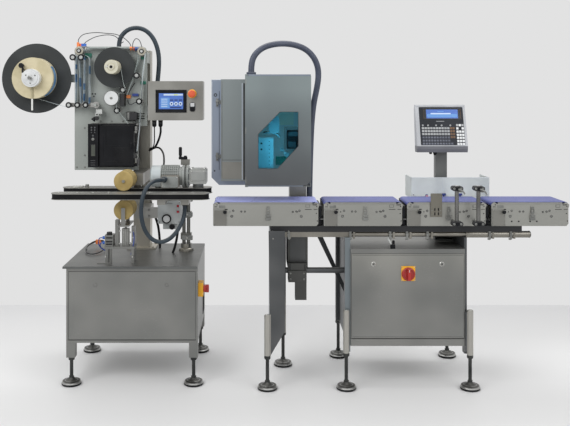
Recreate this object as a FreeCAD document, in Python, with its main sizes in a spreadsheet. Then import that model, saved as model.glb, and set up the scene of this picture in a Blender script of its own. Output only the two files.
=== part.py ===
import FreeCAD, Part
import math
import os
import Sketcher

# Weigh price labelling line: a wrap labelling station on its own table, and beside it
# a row of four belt conveyors with a hooded labeler and a keypad console.
# Frame: X along the product flow, Y from the front to the back, Z up, floor at Z 0.

V = FreeCAD.Vector
DOC = FreeCAD.newDocument("labelling_line")
NODES = []

# Driving dimensions in millimetres
SIZES = {
    # shared by both machines
    "lane_middle": -150.0,
    "foot_radius": 50.0,
    "foot_stem_radius": 9.0,
    "foot_nut_radius": 15.0,
    "sheet": 3.0,
    "running_gap": 0.05,
    "part_gap": 0.3,
    "door_gap": 4.0,
    "lock_radius": 9.0,
    "hinge_pin_radius": 3.0,
    "pin_reach": 4.0,
    # wrap station: cabinet and table
    "wrap_left": -1073.0,
    "wrap_width": 674.0,
    "wrap_front": -240.0,
    "wrap_depth": 590.0,
    "wrap_low": 219.0,
    "wrap_high": 603.0,
    "wrap_leg": 45.0,
    "wrap_leg_low": 143.0,
    "door_depth": 18.0,
    "wrap_door_side": 12.0,
    "wrap_door_sill": 17.0,
    "wrap_door_head": 19.0,
    "table_front_lap": 20.0,
    "table_back_lap": 16.0,
    "table_left_lap": 15.0,
    "table_thick": 12.0,
    "isolator_width": 65.0,
    "isolator_height": 70.0,
    "isolator_depth": 25.0,
    # wrap station: column and label plate
    "column_left": -795.0,
    "column_width": 95.0,
    "column_front": 210.0,
    "column_depth": 95.0,
    "column_drop": 16.0,
    "plate_face": 80.0,
    "plate_thick": 10.0,
    "plate_left": -1101.0,
    "plate_width": 400.0,
    "plate_notch": 47.0,
    "plate_rise": 29.0,
    "step_rise": 243.0,
    "plate_height": 682.0,
    "plate_corner": 25.0,
    "roller_front": 20.0,
    "idler_radius": 14.0,
    "idler_pin_radius": 5.0,
    "engine_inset": 98.0,
    "engine_side_lap": 9.0,
    "engine_edge": 26.0,
    "engine_lap": 16.0,
    "engine_front": -25.0,
    "engine_back": 190.0,
    "cover_thick": 15.0,
    "control_strip": 56.0,
    # reels
    "reel_x": -1304.0,
    "reel_share": 0.599089,
    "reel_disc_radius": 191.0,
    "reel_disc_face": 60.0,
    "disc_thick": 4.0,
    "roll_radius": 111.0,
    "roll_front": -30.0,
    "core_radius": 38.0,
    "hub_radius": 49.0,
    "hub_front": -66.0,
    "spindle_radius": 10.0,
    "spindle_end": -90.0,
    "rewind_x": -871.0,
    "rewind_share": 0.733485,
    "rewind_clearance": 15.0,
    "wind_core_reach": 100.0,
    "nip_x": -884.0,
    "nip_share": 0.353075,
    "nip_radius": 41.0,
    "dancer_pivot_x": -975.0,
    "dancer_share": 0.266515,
    # operator box
    "hmi_left": -686.0,
    "hmi_width": 299.0,
    "hmi_rise": 277.0,
    "hmi_height": 213.0,
    "hmi_depth": 120.0,
    "button_travel": 4.0,
    # side belts
    "side_left": -1140.0,
    "side_right": -335.0,
    "lane_width": 156.0,
    "side_unit_width": 97.0,
    "side_low": 962.0,
    "side_height": 31.0,
    "side_plate": 3.0,
    "side_belt_thick": 4.0,
    "pulley_radius": 40.0,
    "foam_radius": 50.0,
    "foam_shaft_radius": 8.0,
    "spindle_radius": 8.0,
    "piston_radius": 6.0,
    "lift_floor": 820.0,
    "foam_x": -783.0,
    "foam_front": -220.0,
    "foam_length": 140.0,
    "foam_rise": 52.0,
    "foam_drop": 67.0,
    "motor_y": -70.0,
    "motor_rise": 63.0,
    "motor_radius": 58.0,
    "crank_x": -483.0,
    "crank_y": 6.0,
    "post_x": -491.0,
    "post_y": 160.0,
    # conveyor line
    "bed_front": -265.0,
    "bed_back": -35.0,
    "beam_height": 32.0,
    "bed_height": 114.0,
    "belt_rise": 8.0,
    "belt_thick": 2.0,
    "belt_side_gap": 10.0,
    "nose_radius": 11.0,
    "journal_radius": 3.5,
    "bed_plate": 3.0,
    "beam_low": 790.0,
    "beam_left": -25.0,
    "beam_right": 1257.0,
    "beam_width": 32.0,
    "rail_radius": 12.0,
    "rail_drop": 14.0,
    "front_rail_y": -240.0,
    "back_rail_y": -60.0,
    "sleeve_radius": 16.0,
    "stand_low": 168.0,
    # line cabinet
    "line_left": 380.0,
    "line_width": 580.0,
    "line_front": -280.0,
    "line_depth": 470.0,
    "line_low": 216.0,
    "line_top_gap": 82.0,
    "line_door_side": 5.0,
    "line_door_sill": 39.0,
    "line_door_head": 25.0,
    "line_knob_radius": 33.0,
    # labeler hood
    "hood_left": -156.0,
    "hood_right": 179.0,
    "hood_rise": 79.0,
    "hood_height": 572.0,
    "hood_front": -290.0,
    "hood_door": 20.0,
    "hood_chamfer": 39.0,
    "mid_left": -282.0,
    "mid_sill": 20.0,
    "mid_head": 24.0,
    "mid_front": -190.0,
    "shell_left": -336.0,
    "shell_right": 160.0,
    "shell_drop": 12.0,
    "shell_front": -90.0,
    "shell_back": 10.0,
    "shell_chamfer": 40.0,
    "post_left": 85.0,
    "post_width": 92.0,
    "post_front": 60.0,
    "post_depth": 100.0,
    "crossbar_z": 570.0,
    "crossbar_y": -140.0,
    "crossbar_radius": 15.0,
    # console
    "console_left": 768.0,
    "console_right": 1040.0,
    "console_low": 1180.0,
    "console_height": 255.0,
    "console_front": -40.0,
    "console_lean": 75.0,
    "console_depth": 40.0,
    "console_post_x": 924.0,
    "console_post_width": 64.0,
    "console_post_front": 80.0,
    "console_post_depth": 40.0,
    # guards and guide posts
    "guard_left": 736.0,
    "guard_right": 1156.0,
    "guard_rise": 109.0,
    "guard_thick": 5.0,
    "guard_return": 170.0,
    "guide_radius": 10.0,
    "guide_y": -345.0,
    "guide_foot": 14.0,
    "guide_length": 200.0,
}


class Length:
    """A length kept two ways: as the sheet formula that binds it, and as its value."""

    def __init__(self, formula, value):
        self.formula = formula
        self.value = value

    def __add__(self, other):
        other = length(other)
        return Length(f"({self.formula} + {other.formula})", self.value + other.value)

    def __sub__(self, other):
        other = length(other)
        return Length(f"({self.formula} - {other.formula})", self.value - other.value)

    def __mul__(self, other):
        other = length(other)
        return Length(f"({self.formula} * {other.formula})", self.value * other.value)

    def __truediv__(self, other):
        other = length(other)
        return Length(f"({self.formula} / {other.formula})", self.value / other.value)

    def __radd__(self, other):
        return length(other) + self

    def __rsub__(self, other):
        return length(other) - self

    def __rmul__(self, other):
        return length(other) * self

    def __neg__(self):
        return Length(f"(0 - {self.formula})", -self.value)

    def __float__(self):
        return float(self.value)


def length(value):
    """Any number as a Length."""
    if isinstance(value, Length):
        return value
    return Length(f"({float(value):.6f})", float(value))


def lengths(first, second):
    """Two numbers as Lengths: a span along one axis, or the two values of a point."""
    return (length(first), length(second))


def write_sheet():
    """Puts every driving dimension in the sheet, with its name as the cell's alias."""
    sheet = DOC.addObject("Spreadsheet::Sheet", "Sizes")
    for row, (name, value) in enumerate(SIZES.items(), start=1):
        sheet.set(f"A{row}", name)
        sheet.set(f"B{row}", str(value))
        sheet.setAlias(f"B{row}", name)
    DOC.recompute()
    return {name: Length(f"Sizes.{name}", value) for name, value in SIZES.items()}


class Named:
    """The sheet's dimensions, read as attributes."""

    def __init__(self, values):
        self.__dict__.update(values)


S = Named(write_sheet())

# Places that follow from the driving dimensions
S.wrap_door_low = S.wrap_low + S.wrap_door_sill
S.wrap_door_high = S.wrap_high - S.wrap_door_head
S.table_front = S.wrap_front - S.table_front_lap
S.table_back = S.wrap_front + S.wrap_depth + S.table_back_lap
S.side_high = S.side_low + S.side_height
S.upper_foam_z = S.side_high + S.foam_rise
S.lower_foam_z = S.side_low - S.foam_drop
S.motor_z = S.side_high + S.motor_rise
S.plate_low = S.upper_foam_z + S.plate_rise
S.plate_high = S.plate_low + S.plate_height
S.plate_step_height = S.plate_low + S.step_rise
S.plate_right = S.plate_left + S.plate_width
S.plate_step = S.plate_right - S.plate_notch
S.column_top = S.plate_high - S.column_drop
S.engine_left = S.plate_left + S.engine_inset
S.engine_right = S.plate_step + S.engine_side_lap
S.engine_low = S.plate_low + S.engine_edge
S.engine_high = S.plate_step_height + S.engine_lap
S.hmi_right = S.hmi_left + S.hmi_width
S.hmi_low = S.plate_low + S.hmi_rise
S.hmi_high = S.hmi_low + S.hmi_height


def up_the_plate(share):
    """A height on the label plate, as a share of the way from the step to the top edge."""
    return S.plate_step_height + (S.plate_high - S.plate_step_height) * share


S.reel_z = up_the_plate(S.reel_share)
S.rewind_z = up_the_plate(S.rewind_share)
S.nip_z = up_the_plate(S.nip_share)
S.dancer_z = up_the_plate(S.dancer_share)
S.rewind_radius = S.rewind_z - S.nip_z - S.nip_radius - S.rewind_clearance
S.bed_low = S.beam_low + S.beam_height
S.bed_high = S.bed_low + S.bed_height
S.belt_top = S.bed_high + S.belt_rise
S.line_high = S.beam_low - S.line_top_gap
S.line_door_low = S.line_low + S.line_door_sill
S.line_door_high = S.line_high - S.line_door_head
S.hood_low = S.belt_top + S.hood_rise
S.hood_high = S.hood_low + S.hood_height
S.mid_low = S.hood_low + S.mid_sill
S.mid_high = S.hood_high - S.mid_head
S.shell_low = S.hood_low - S.shell_drop
S.console_high = S.console_low + S.console_height
S.guard_high = S.bed_high + S.guard_rise
S.guide_low = S.bed_low + S.guide_foot
S.guide_high = S.guide_low + S.guide_length

AXES = {
    "X": FreeCAD.Rotation(V(0, 1, 0), 90),
    "Y": FreeCAD.Rotation(V(1, 0, 0), -90),
    "Z": FreeCAD.Rotation(),
    "-Y": FreeCAD.Rotation(V(1, 0, 0), 90),
    "-X": FreeCAD.Rotation(V(0, 1, 0), -90),
}


def bind(item, prop, value):
    """Ties a property to the sheet."""
    item.setExpression(prop, length(value).formula)


def place(item, x, y, z, axis="Z"):
    """Turns a piece's own Z to an axis and moves it to a point."""
    item.Placement = FreeCAD.Placement(V(0, 0, 0), AXES[axis])
    bind(item, "Placement.Base.x", x)
    bind(item, "Placement.Base.y", y)
    bind(item, "Placement.Base.z", z)
    return item


def block(x, y, z):
    """A straight-sided piece between the low and high ends on each axis."""
    item = DOC.addObject("Part::Box", "block")
    bind(item, "Length", x[1] - x[0])
    bind(item, "Width", y[1] - y[0])
    bind(item, "Height", z[1] - z[0])
    return place(item, x[0], y[0], z[0])


def rod(axis, x, y, z, radius, reach):
    """A round bar that starts at a point and runs along an axis."""
    item = DOC.addObject("Part::Cylinder", "rod")
    bind(item, "Radius", radius)
    bind(item, "Height", reach)
    return place(item, x, y, z, axis)


def cone(axis, x, y, z, radius, end_radius, reach):
    """A tapered round piece along an axis."""
    item = DOC.addObject("Part::Cone", "cone")
    bind(item, "Radius1", radius)
    bind(item, "Radius2", end_radius)
    bind(item, "Height", reach)
    return place(item, x, y, z, axis)


def fuse(*pieces):
    """Pieces joined into one."""
    item = DOC.addObject("Part::MultiFuse", "joined")
    item.Shapes = list(pieces)
    item.Refine = True
    return item


def cut(base, *tools):
    """A piece less the others."""
    item = DOC.addObject("Part::Cut", "cut")
    item.Base = base
    item.Tool = tools[0] if len(tools) == 1 else fuse(*tools)
    item.Refine = True
    return item


def tube(axis, x, y, z, radius, bore, reach):
    """A round bar with a bore right through."""
    return cut(rod(axis, x, y, z, radius, reach), rod(axis, x, y, z, bore, reach))


def round_edges(item, radius, direction=None):
    """Rounds a piece's straight edges that run along a direction."""
    DOC.recompute()
    edges = []
    for number, edge in enumerate(item.Shape.Edges, start=1):
        if edge.Curve.TypeId != "Part::GeomLine":
            continue
        along = edge.tangentAt(edge.FirstParameter)
        if direction is None or abs(along.dot(direction)) > 0.999:
            edges.append((number, float(radius), float(radius)))
    rounded = DOC.addObject("Part::Fillet", "rounded")
    rounded.Base = item
    rounded.Edges = edges
    return rounded


def node(name, *pieces):
    """Names a sub-part. Several pieces stay separate solids in one group."""
    if len(pieces) == 1:
        item = pieces[0]
    else:
        item = DOC.addObject("Part::Compound", "group")
        item.Links = list(pieces)
    item.Label = name
    NODES.append((name, item))
    return item


def draw(sketch, points, circles):
    """Draws a closed outline and round holes, every one tied to the sheet."""
    count = len(points)
    for number in range(count):
        start = points[number]
        end = points[(number + 1) % count]
        line = Part.LineSegment(V(float(start[0]), float(start[1]), 0), V(float(end[0]), float(end[1]), 0))
        sketch.addGeometry(line, False)
    for number in range(count):
        sketch.addConstraint(Sketcher.Constraint("Coincident", number, 2, (number + 1) % count, 1))
    for number, (across, up) in enumerate(points):
        tie_point(sketch, number, 1, across, up)
    for across, up, radius in circles:
        centre = V(float(across), float(up), 0)
        ring = sketch.addGeometry(Part.Circle(centre, V(0, 0, 1), float(radius)), False)
        tie_point(sketch, ring, 3, across, up)
        size = sketch.addConstraint(Sketcher.Constraint("Radius", ring, float(radius)))
        sketch.setExpression(f"Constraints[{size}]", length(radius).formula)


def tie_point(sketch, geometry, spot, across, up):
    """Ties a sketch point to its distances from the sketch's origin."""
    for kind, value in (("DistanceX", across), ("DistanceY", up)):
        number = sketch.addConstraint(Sketcher.Constraint(kind, -1, 1, geometry, spot, float(value)))
        sketch.setExpression(f"Constraints[{number}]", length(value).formula)


def sketched(body, plane, points, circles=()):
    """A sketch on one of the body's own planes."""
    sketch = body.newObject("Sketcher::SketchObject", "outline")
    support = [item for item in body.Origin.OriginFeatures if item.Role == f"{plane}_Plane"][0]
    sketch.AttachmentSupport = (support, [""])
    sketch.MapMode = "FlatFace"
    draw(sketch, points, circles)
    return sketch


def plate(plane, points, low, high, circles=()):
    """A flat piece: an outline on a plane, as thick as from low to high along the normal."""
    body = DOC.addObject("PartDesign::Body", "plate")
    pad = body.newObject("PartDesign::Pad", "thickness")
    pad.Profile = sketched(body, plane, points, circles)
    bind(pad, "Length", high - low)
    if plane == "XZ":
        bind(body, "Placement.Base.y", high)
    elif plane == "YZ":
        bind(body, "Placement.Base.x", low)
    else:
        bind(body, "Placement.Base.z", low)
    return body


def turned(axis, x, y, z, points):
    """A round piece: half its section, as (radius, along) points, turned about an axis."""
    body = DOC.addObject("PartDesign::Body", "turned")
    sketch = sketched(body, "XZ", points)
    spin = body.newObject("PartDesign::Revolution", "turn")
    spin.Profile = sketch
    spin.ReferenceAxis = (sketch, ["V_Axis"])
    spin.Angle = 360
    return place(body, x, y, z, axis)


def corners(x, y):
    """The four corners of a rectangle."""
    return [(x[0], y[0]), (x[1], y[0]), (x[1], y[1]), (x[0], y[1])]


def screw(axis, x, y, z, radius=4, reach=3):
    """A low round screw head that stands on a face."""
    return rod(axis, x, y, z, radius, reach)


# Cords


def route_wire(points):
    """Straight runs joined by tangent arcs, each as large as its two runs allow."""
    spots = [V(*point) for point in points]
    edges = []
    radii = []
    start = spots[0]
    for before, corner, after in zip(spots, spots[1:], spots[2:]):
        run_in = corner - before
        run_out = after - corner
        turn = run_in.getAngle(run_out)
        radius = 0.45 * min(run_in.Length, run_out.Length) / math.tan(turn / 2)
        reach = radius * math.tan(turn / 2)
        way_in = V(run_in).normalize()
        way_out = V(run_out).normalize()
        arc_start = corner - way_in * reach
        arc_end = corner + way_out * reach
        middle_way = (way_out - way_in).normalize()
        middle = corner + middle_way * (radius / math.cos(turn / 2) - radius)
        edges.append(Part.LineSegment(start, arc_start).toShape())
        edges.append(Part.Arc(arc_start, middle, arc_end).toShape())
        radii.append(radius)
        start = arc_end
    edges.append(Part.LineSegment(start, spots[-1]).toShape())
    return Part.Wire(edges), radii


def cord(name, points, diameter):
    """A hose: a round section carried along its route."""
    wire, radii = route_wire(points)
    start = wire.Vertexes[0].Point
    way = V(*points[1]) - V(*points[0])
    section = Part.Wire([Part.Circle(start, way, diameter / 2).toShape()])
    solid = wire.makePipeShell([section], True, False)
    expected = math.pi * diameter * diameter / 4 * wire.Length
    item = DOC.addObject("Part::Feature", name)
    item.Shape = solid
    item.Placement = FreeCAD.Placement()
    print(f"{name}: {wire.Length:.0f} mm long, tightest bend {min(radii):.0f} mm,"
          f" volume {solid.Volume / expected:.4f} of section times length")
    return node(name, item)


# Wrap station: cabinet, door, table and feet

wrap_right = S.wrap_left + S.wrap_width
wrap_back = S.wrap_front + S.wrap_depth
wrap_door_x = (S.wrap_left + S.wrap_door_side, wrap_right - S.wrap_door_side)
wrap_door_z = (S.wrap_door_low, S.wrap_door_high)
isolator_y = (S.wrap_front + 40, S.wrap_front + 40 + S.isolator_width)
isolator_z = (S.wrap_high - 157, S.wrap_high - 157 + S.isolator_height)


def cabinet_shell(x, y, z, door_x, door_z, stile, extra):
    """A sheet cabinet that is open at the front, with a recess that its door lies in."""
    box = block(x, y, z)
    hollow = block(
        (x[0] + S.sheet, x[1] - S.sheet),
        (y[0] + S.door_depth + S.sheet, y[1] - S.sheet),
        (z[0] + S.sheet, z[1] - S.sheet))
    mouth = block(
        (x[0] + stile, x[1] - stile),
        (y[0] - 1, y[0] + S.door_depth + S.sheet + 1),
        (door_z[0] + 26, door_z[1] - 26))
    recess = block(
        (door_x[0] - 1.5, door_x[1] + 1.5),
        (y[0] - 1, y[0] + S.door_depth + 1),
        (door_z[0] - S.door_gap, door_z[1] + 2))
    swing = block(
        (door_x[0] - 1.5, door_x[1] + 1.5),
        (y[0] - 1, y[0] + S.door_depth + 6),
        (door_z[0] - S.door_gap, door_z[0] + 27))
    frame = cut(box, hollow)
    return cut(fuse(frame, *extra), mouth, recess, swing)


def drop_door(x, y_front, z, locks):
    """A folded door tray on pins along its lower edge, with quarter-turn locks."""
    tray = block(x, (y_front, y_front + S.door_depth), z)
    inner = block(
        (x[0] + S.sheet, x[1] - S.sheet),
        (y_front + S.sheet, y_front + S.door_depth + 1),
        (z[0] + 2 * S.door_depth, z[1] - S.sheet))
    pin_y = y_front + S.door_depth / 2
    pin_z = z[0] + S.door_depth / 2
    pin = rod("X", x[0] - S.pin_reach, pin_y, pin_z, S.hinge_pin_radius, x[1] - x[0] + 2 * S.pin_reach)
    door = fuse(cut(tray, inner), pin)
    pieces = [door]
    for lock_x, lock_z in locks:
        pieces.append(turned("-Y", lock_x, y_front, lock_z, [
            (0, 0), (S.lock_radius, 0), (S.lock_radius, 2), (S.lock_radius - 2, 4), (0, 4)]))
        pieces.append(rod("Y", lock_x, y_front + S.sheet, lock_z, S.lock_radius - 2, 11))
    return pieces


def hinge_bores(x, y_front, z_low):
    """Bores in the frame for the door's two pin ends."""
    pin_y = y_front + S.door_depth / 2
    pin_z = z_low + S.door_depth / 2
    bore = S.hinge_pin_radius + S.running_gap
    reach = S.pin_reach + S.part_gap
    return rod("X", x[0] - reach, pin_y, pin_z, bore, x[1] - x[0] + 2 * reach)


def wrap_station_cabinet():
    """Welded cabinet on four square legs, with louvres on its right side."""
    legs = []
    for leg_x in (S.wrap_left, wrap_right - S.wrap_leg):
        for leg_y in (S.wrap_front, wrap_back - S.wrap_leg):
            legs.append(block(
                (leg_x, leg_x + S.wrap_leg),
                (leg_y, leg_y + S.wrap_leg),
                (S.wrap_leg_low, S.wrap_high)))
    shell = cabinet_shell(
        (S.wrap_left, wrap_right), (S.wrap_front, wrap_back), (S.wrap_low, S.wrap_high),
        wrap_door_x, wrap_door_z, S.wrap_leg, legs)
    cuts = [hinge_bores(wrap_door_x, S.wrap_front, S.wrap_door_low)]
    for louvre in range(9):
        louvre_z = S.wrap_low + 32 + 17 * louvre
        cuts.append(block(
            (wrap_right - S.sheet - 1, wrap_right + 1),
            (wrap_back - 180, wrap_back - 60),
            (louvre_z, louvre_z + 8)))
    plate_seat = block((wrap_right, wrap_right + S.isolator_depth), isolator_y, isolator_z)
    knob_y = (isolator_y[0] + isolator_y[1]) / 2
    knob_z = (isolator_z[0] + isolator_z[1]) / 2
    knob_bore = rod("X", wrap_right + 5, knob_y, knob_z, 6 + S.running_gap, S.isolator_depth)
    node("wrap_cabinet", cut(shell, *cuts), cut(plate_seat, knob_bore))
    grip = block((wrap_right + S.isolator_depth + 12, wrap_right + S.isolator_depth + 28),
                 (knob_y - 5, knob_y + 5), (knob_z - 20, knob_z + 20))
    base = rod("X", wrap_right + S.isolator_depth + S.part_gap, knob_y, knob_z, 20, 12)
    stem = rod("X", wrap_right + 6, knob_y, knob_z, 6, S.isolator_depth)
    node("wrap_isolator_knob", fuse(base, stem, grip))


def wrap_station_door():
    """The front door, hinged at its lower edge."""
    lock_z = S.wrap_door_high - 69
    locks = [(wrap_door_x[0] + 137, lock_z), (wrap_door_x[1] - 147, lock_z)]
    node("wrap_door", *drop_door(wrap_door_x, S.wrap_front, wrap_door_z, locks))


def wrap_table_top():
    """The table top, with a chamfered edge all round."""
    body = plate(
        "XY", corners((S.wrap_left - S.table_left_lap, wrap_right), (S.table_front, S.table_back)),
        S.wrap_high, S.wrap_high + S.table_thick)
    DOC.recompute()
    pad = body.Tip
    upper = [f"Edge{number}" for number, side in enumerate(pad.Shape.Edges, start=1)
             if side.BoundBox.ZMin > float(S.table_thick) - 0.01]
    edge = body.newObject("PartDesign::Chamfer", "edge")
    edge.Base = (pad, upper)
    edge.Size = 2
    body.Tip = edge
    node("wrap_table_top", body)


def foot(x, y, top):
    """A levelling foot: domed pad, stem and lock nut under a leg's end."""
    nut = top - 16
    return turned("Z", x, y, 0, [
        (0, 0), (S.foot_radius - 4, 0), (S.foot_radius, 4), (S.foot_radius, 12), (S.foot_radius - 8, 19),
        (S.foot_radius - 26, 27), (S.foot_stem_radius + 5, 34), (S.foot_stem_radius, 40),
        (S.foot_stem_radius, nut), (S.foot_nut_radius, nut), (S.foot_nut_radius, top), (0, top)])


line_right = S.line_left + S.line_width
stand_feet = {
    "leg_front": (-42.5, -284, S.stand_low),
    "leg_back": (50, 71.5, S.stand_low + 14),
    "left_front": (357.5, -282.5, S.stand_low + 15),
    "left_back": (370, 220.5, S.stand_low + 38),
    "right_front": (985, -284, S.stand_low + 5),
    "right_back": (990, 220.5, S.stand_low + 38),
}


def levelling_feet():
    """All ten levelling feet."""
    feet = []
    for x in (S.wrap_left + S.wrap_leg / 2, wrap_right - S.wrap_leg / 2):
        for y in (S.wrap_front + S.wrap_leg / 2, S.table_back - S.foot_radius):
            feet.append(foot(x, y, S.wrap_leg_low))
    for x, y, top in stand_feet.values():
        feet.append(foot(x, y, top))
    node("levelling_feet", *feet)


# Wrap station: column, label plate and what it carries

table_top = S.wrap_high + S.table_thick
column_right = S.column_left + S.column_width
column_back = S.column_front + S.column_depth
plate_back = S.plate_face + S.plate_thick


def wrap_column():
    """Square column on a bolted foot, and the round support post with its clamps."""
    middle_x = S.column_left + S.column_width / 2
    middle_y = S.column_front + S.column_depth / 2
    outer = block((S.column_left, column_right), (S.column_front, column_back), (table_top, S.column_top))
    inner = block(
        (S.column_left + 4, column_right - 4), (S.column_front + 4, column_back - 4),
        (table_top + 8, S.column_top - 4))
    foot_plate = block(
        (middle_x - 80, middle_x + 80), (middle_y - 80, middle_y + 80), (table_top, table_top + 8))
    column = fuse(cut(outer, inner), foot_plate)
    pieces = [column]
    for side_x in (-65, 65):
        for side_y in (-65, 65):
            pieces.append(rod("Z", middle_x + side_x, middle_y + side_y, table_top + 8, 7, 7))
    flange = turned("Z", S.post_x, S.post_y, table_top, [
        (0, 0), (41, 0), (41, 12), (36, 16), (30, 18), (30, 40), (0, 40)])
    bars = []
    for side in (-13, 13):
        bars.append(rod("Z", S.post_x + side, S.post_y, table_top + 30, 10, 935 - table_top - 30))
    clamps = []
    for clamp_z in (680, 800):
        clamps.append(block(
            (S.post_x - 30, S.post_x + 30), (S.post_y - 18, S.post_y + 18), (clamp_z, clamp_z + 34)))
    head = block((S.post_x - 34, S.post_x + 34), (S.post_y - 22, S.post_y + 20), (915, 935))
    node("wrap_column", *pieces, fuse(flange, *bars, *clamps, head))


# Each roller's distance from the plate's left edge, and its share of the height above the step
IDLERS = [
    (3, 0.8588), (48, 0.8588), (351, 0.6333), (365, 0.3121), (244, 0.1982), (276, 0.4533), (37, 0.9408),
    (378, 0.9339),
]


def idler_spots():
    """The fixed rollers' centres on the label plate."""
    return [(S.plate_left + across, up_the_plate(share)) for across, share in IDLERS]


def label_plate():
    """Painted plate with the engine's cut-out, its standoffs to the column and the supply arm."""
    outline = [
        (S.plate_left, S.plate_low), (S.plate_step, S.plate_low), (S.plate_step, S.plate_step_height),
        (S.plate_right, S.plate_step_height), (S.plate_right, S.plate_high - S.plate_corner),
        (S.plate_right - S.plate_corner * 0.3, S.plate_high - S.plate_corner * 0.3),
        (S.plate_right - S.plate_corner, S.plate_high), (S.plate_left + S.plate_corner, S.plate_high),
        (S.plate_left + S.plate_corner * 0.3, S.plate_high - S.plate_corner * 0.3),
        (S.plate_left, S.plate_high - S.plate_corner)]
    panel = plate("XZ", outline, S.plate_face, plate_back)
    port = block(
        (S.engine_left + 10, S.plate_step - 6), (S.plate_face - 1, plate_back + 1),
        (S.engine_low + 10, S.engine_high - 10))
    standoffs = []
    for low in (S.plate_step_height + 60, S.plate_high - 90):
        standoffs.append(block(
            (S.column_left + 6, column_right - 2), (plate_back, S.column_front), (low, low + 60)))
    arm = block(
        (S.reel_x - 30, S.plate_left + 60), (plate_back, plate_back + 14), (S.reel_z - 22, S.reel_z + 22))
    spindle = rod("-Y", S.reel_x, plate_back, S.reel_z, S.spindle_radius, plate_back - S.spindle_end)
    shoulder = rod("-Y", S.reel_x, plate_back, S.reel_z, 26, plate_back - S.reel_disc_face - S.part_gap)
    wiring_box = block(
        (S.plate_left + 171, S.plate_left + 301), (plate_back, plate_back + 100),
        (S.plate_high - 196, S.plate_high - 21))
    hose_gland = turned("Z", -868, 150, S.plate_high - 21, [(0, 0), (19, 0), (19, 8), (16, 15), (0, 15)])
    bosses = [rod("-Y", S.rewind_x, S.plate_face, S.rewind_z, 14, 56),
              rod("-Y", S.rewind_x, S.plate_face, S.rewind_z, 8, 66 + S.wind_core_reach),
              rod("-Y", S.nip_x, S.plate_face, S.nip_z, 8, 80),
              rod("-Y", S.nip_x, S.plate_face, S.nip_z, 14, 44),
              rod("-Y", S.dancer_pivot_x, S.plate_face, S.dancer_z, 12, 30),
              rod("-Y", S.dancer_pivot_x, S.plate_face, S.dancer_z, 6, 64)]
    node("label_plate", fuse(cut(panel, port), *standoffs, arm, spindle, shoulder, wiring_box, hose_gland,
                             *bosses))


def idler_rollers():
    """Fixed rollers on pins, the print roller block, the toggle clamp and the web sensors."""
    pieces = []
    for x, z in idler_spots():
        front = S.roller_front
        span = S.plate_face - front
        pieces.append(turned("-Y", x, S.plate_face, z, [
            (0, 0), (S.idler_radius + 3, 0), (S.idler_radius + 3, 3), (S.idler_radius - 3, 3),
            (S.idler_radius - 3, 5), (S.idler_radius, 5), (S.idler_radius, span - 4),
            (S.idler_radius + 1.5, span - 4), (S.idler_radius + 1.5, span), (S.idler_pin_radius, span),
            (S.idler_pin_radius, span + 3), (0, span + 3)]))
    nip_block = block(
        (S.nip_x + 44, S.nip_x + 66), (S.plate_face - 66, S.plate_face), (S.nip_z - 45, S.nip_z + 22))
    pivot = S.dancer_pivot_x
    under = S.dancer_z
    clamp_body = block(
        (pivot + 3, pivot + 35), (S.plate_face - 50, S.plate_face - 28), (under - 50, under - 23))
    clamp_foot = block(
        (pivot + 13, pivot + 25), (S.plate_face - 40, S.plate_face), (under - 54, under - 34))
    clamp_grip = turned("-Y", pivot + 7, S.plate_face - 34, under - 72, [
        (0, 0), (7, 0), (7, 12), (13, 16), (13, 22), (0, 22)])
    clamp_link = block(
        (pivot + 1, pivot + 13), (S.plate_face - 44, S.plate_face - 34), (under - 78, under - 34))
    sensor_left = fuse(
        block((S.plate_left + 26, S.plate_left + 66), (S.plate_face - 24, S.plate_face),
              (S.plate_high + 1, S.plate_high + 15)),
        block((S.plate_left + 58, S.plate_left + 66), (S.plate_face - 6, S.plate_face),
              (S.plate_high - 18, S.plate_high + 15)))
    sensor_right = block((S.plate_right - 74, S.plate_right - 47), (S.plate_face - 24, S.plate_face),
                         (S.plate_high - 21, S.plate_high - 6))
    fork = block((S.plate_right - 91, S.plate_right - 51), (S.plate_face - 46, S.plate_face),
                 (S.plate_step_height + 35, S.plate_step_height + 75))
    pieces += [nip_block, fuse(clamp_body, clamp_foot, clamp_grip, clamp_link), sensor_left, sensor_right,
               fork]
    node("idler_rollers", *pieces)


def dancer_arm():
    """Swinging arm with three rollers that keeps the label web taut."""
    face = S.plate_face - 30 - S.part_gap
    back = S.dancer_z
    bar = block((S.dancer_pivot_x - 160, S.dancer_pivot_x + 12), (face - 10, face), (back - 12, back + 12))
    end = rod("-Y", S.dancer_pivot_x, face, back, 18, 10)
    bore = rod("-Y", S.dancer_pivot_x, face + 1, back, 6 + S.running_gap, 12)
    rollers = []
    for offset in (-144, -97, -52):
        rollers.append(turned("-Y", S.dancer_pivot_x + offset, face - 10, back, [
            (0, 0), (S.idler_radius, 0), (S.idler_radius, 22), (S.idler_pin_radius, 22),
            (S.idler_pin_radius, 25), (0, 25)]))
    node("dancer_arm", cut(fuse(bar, end, *rollers), bore))


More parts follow.
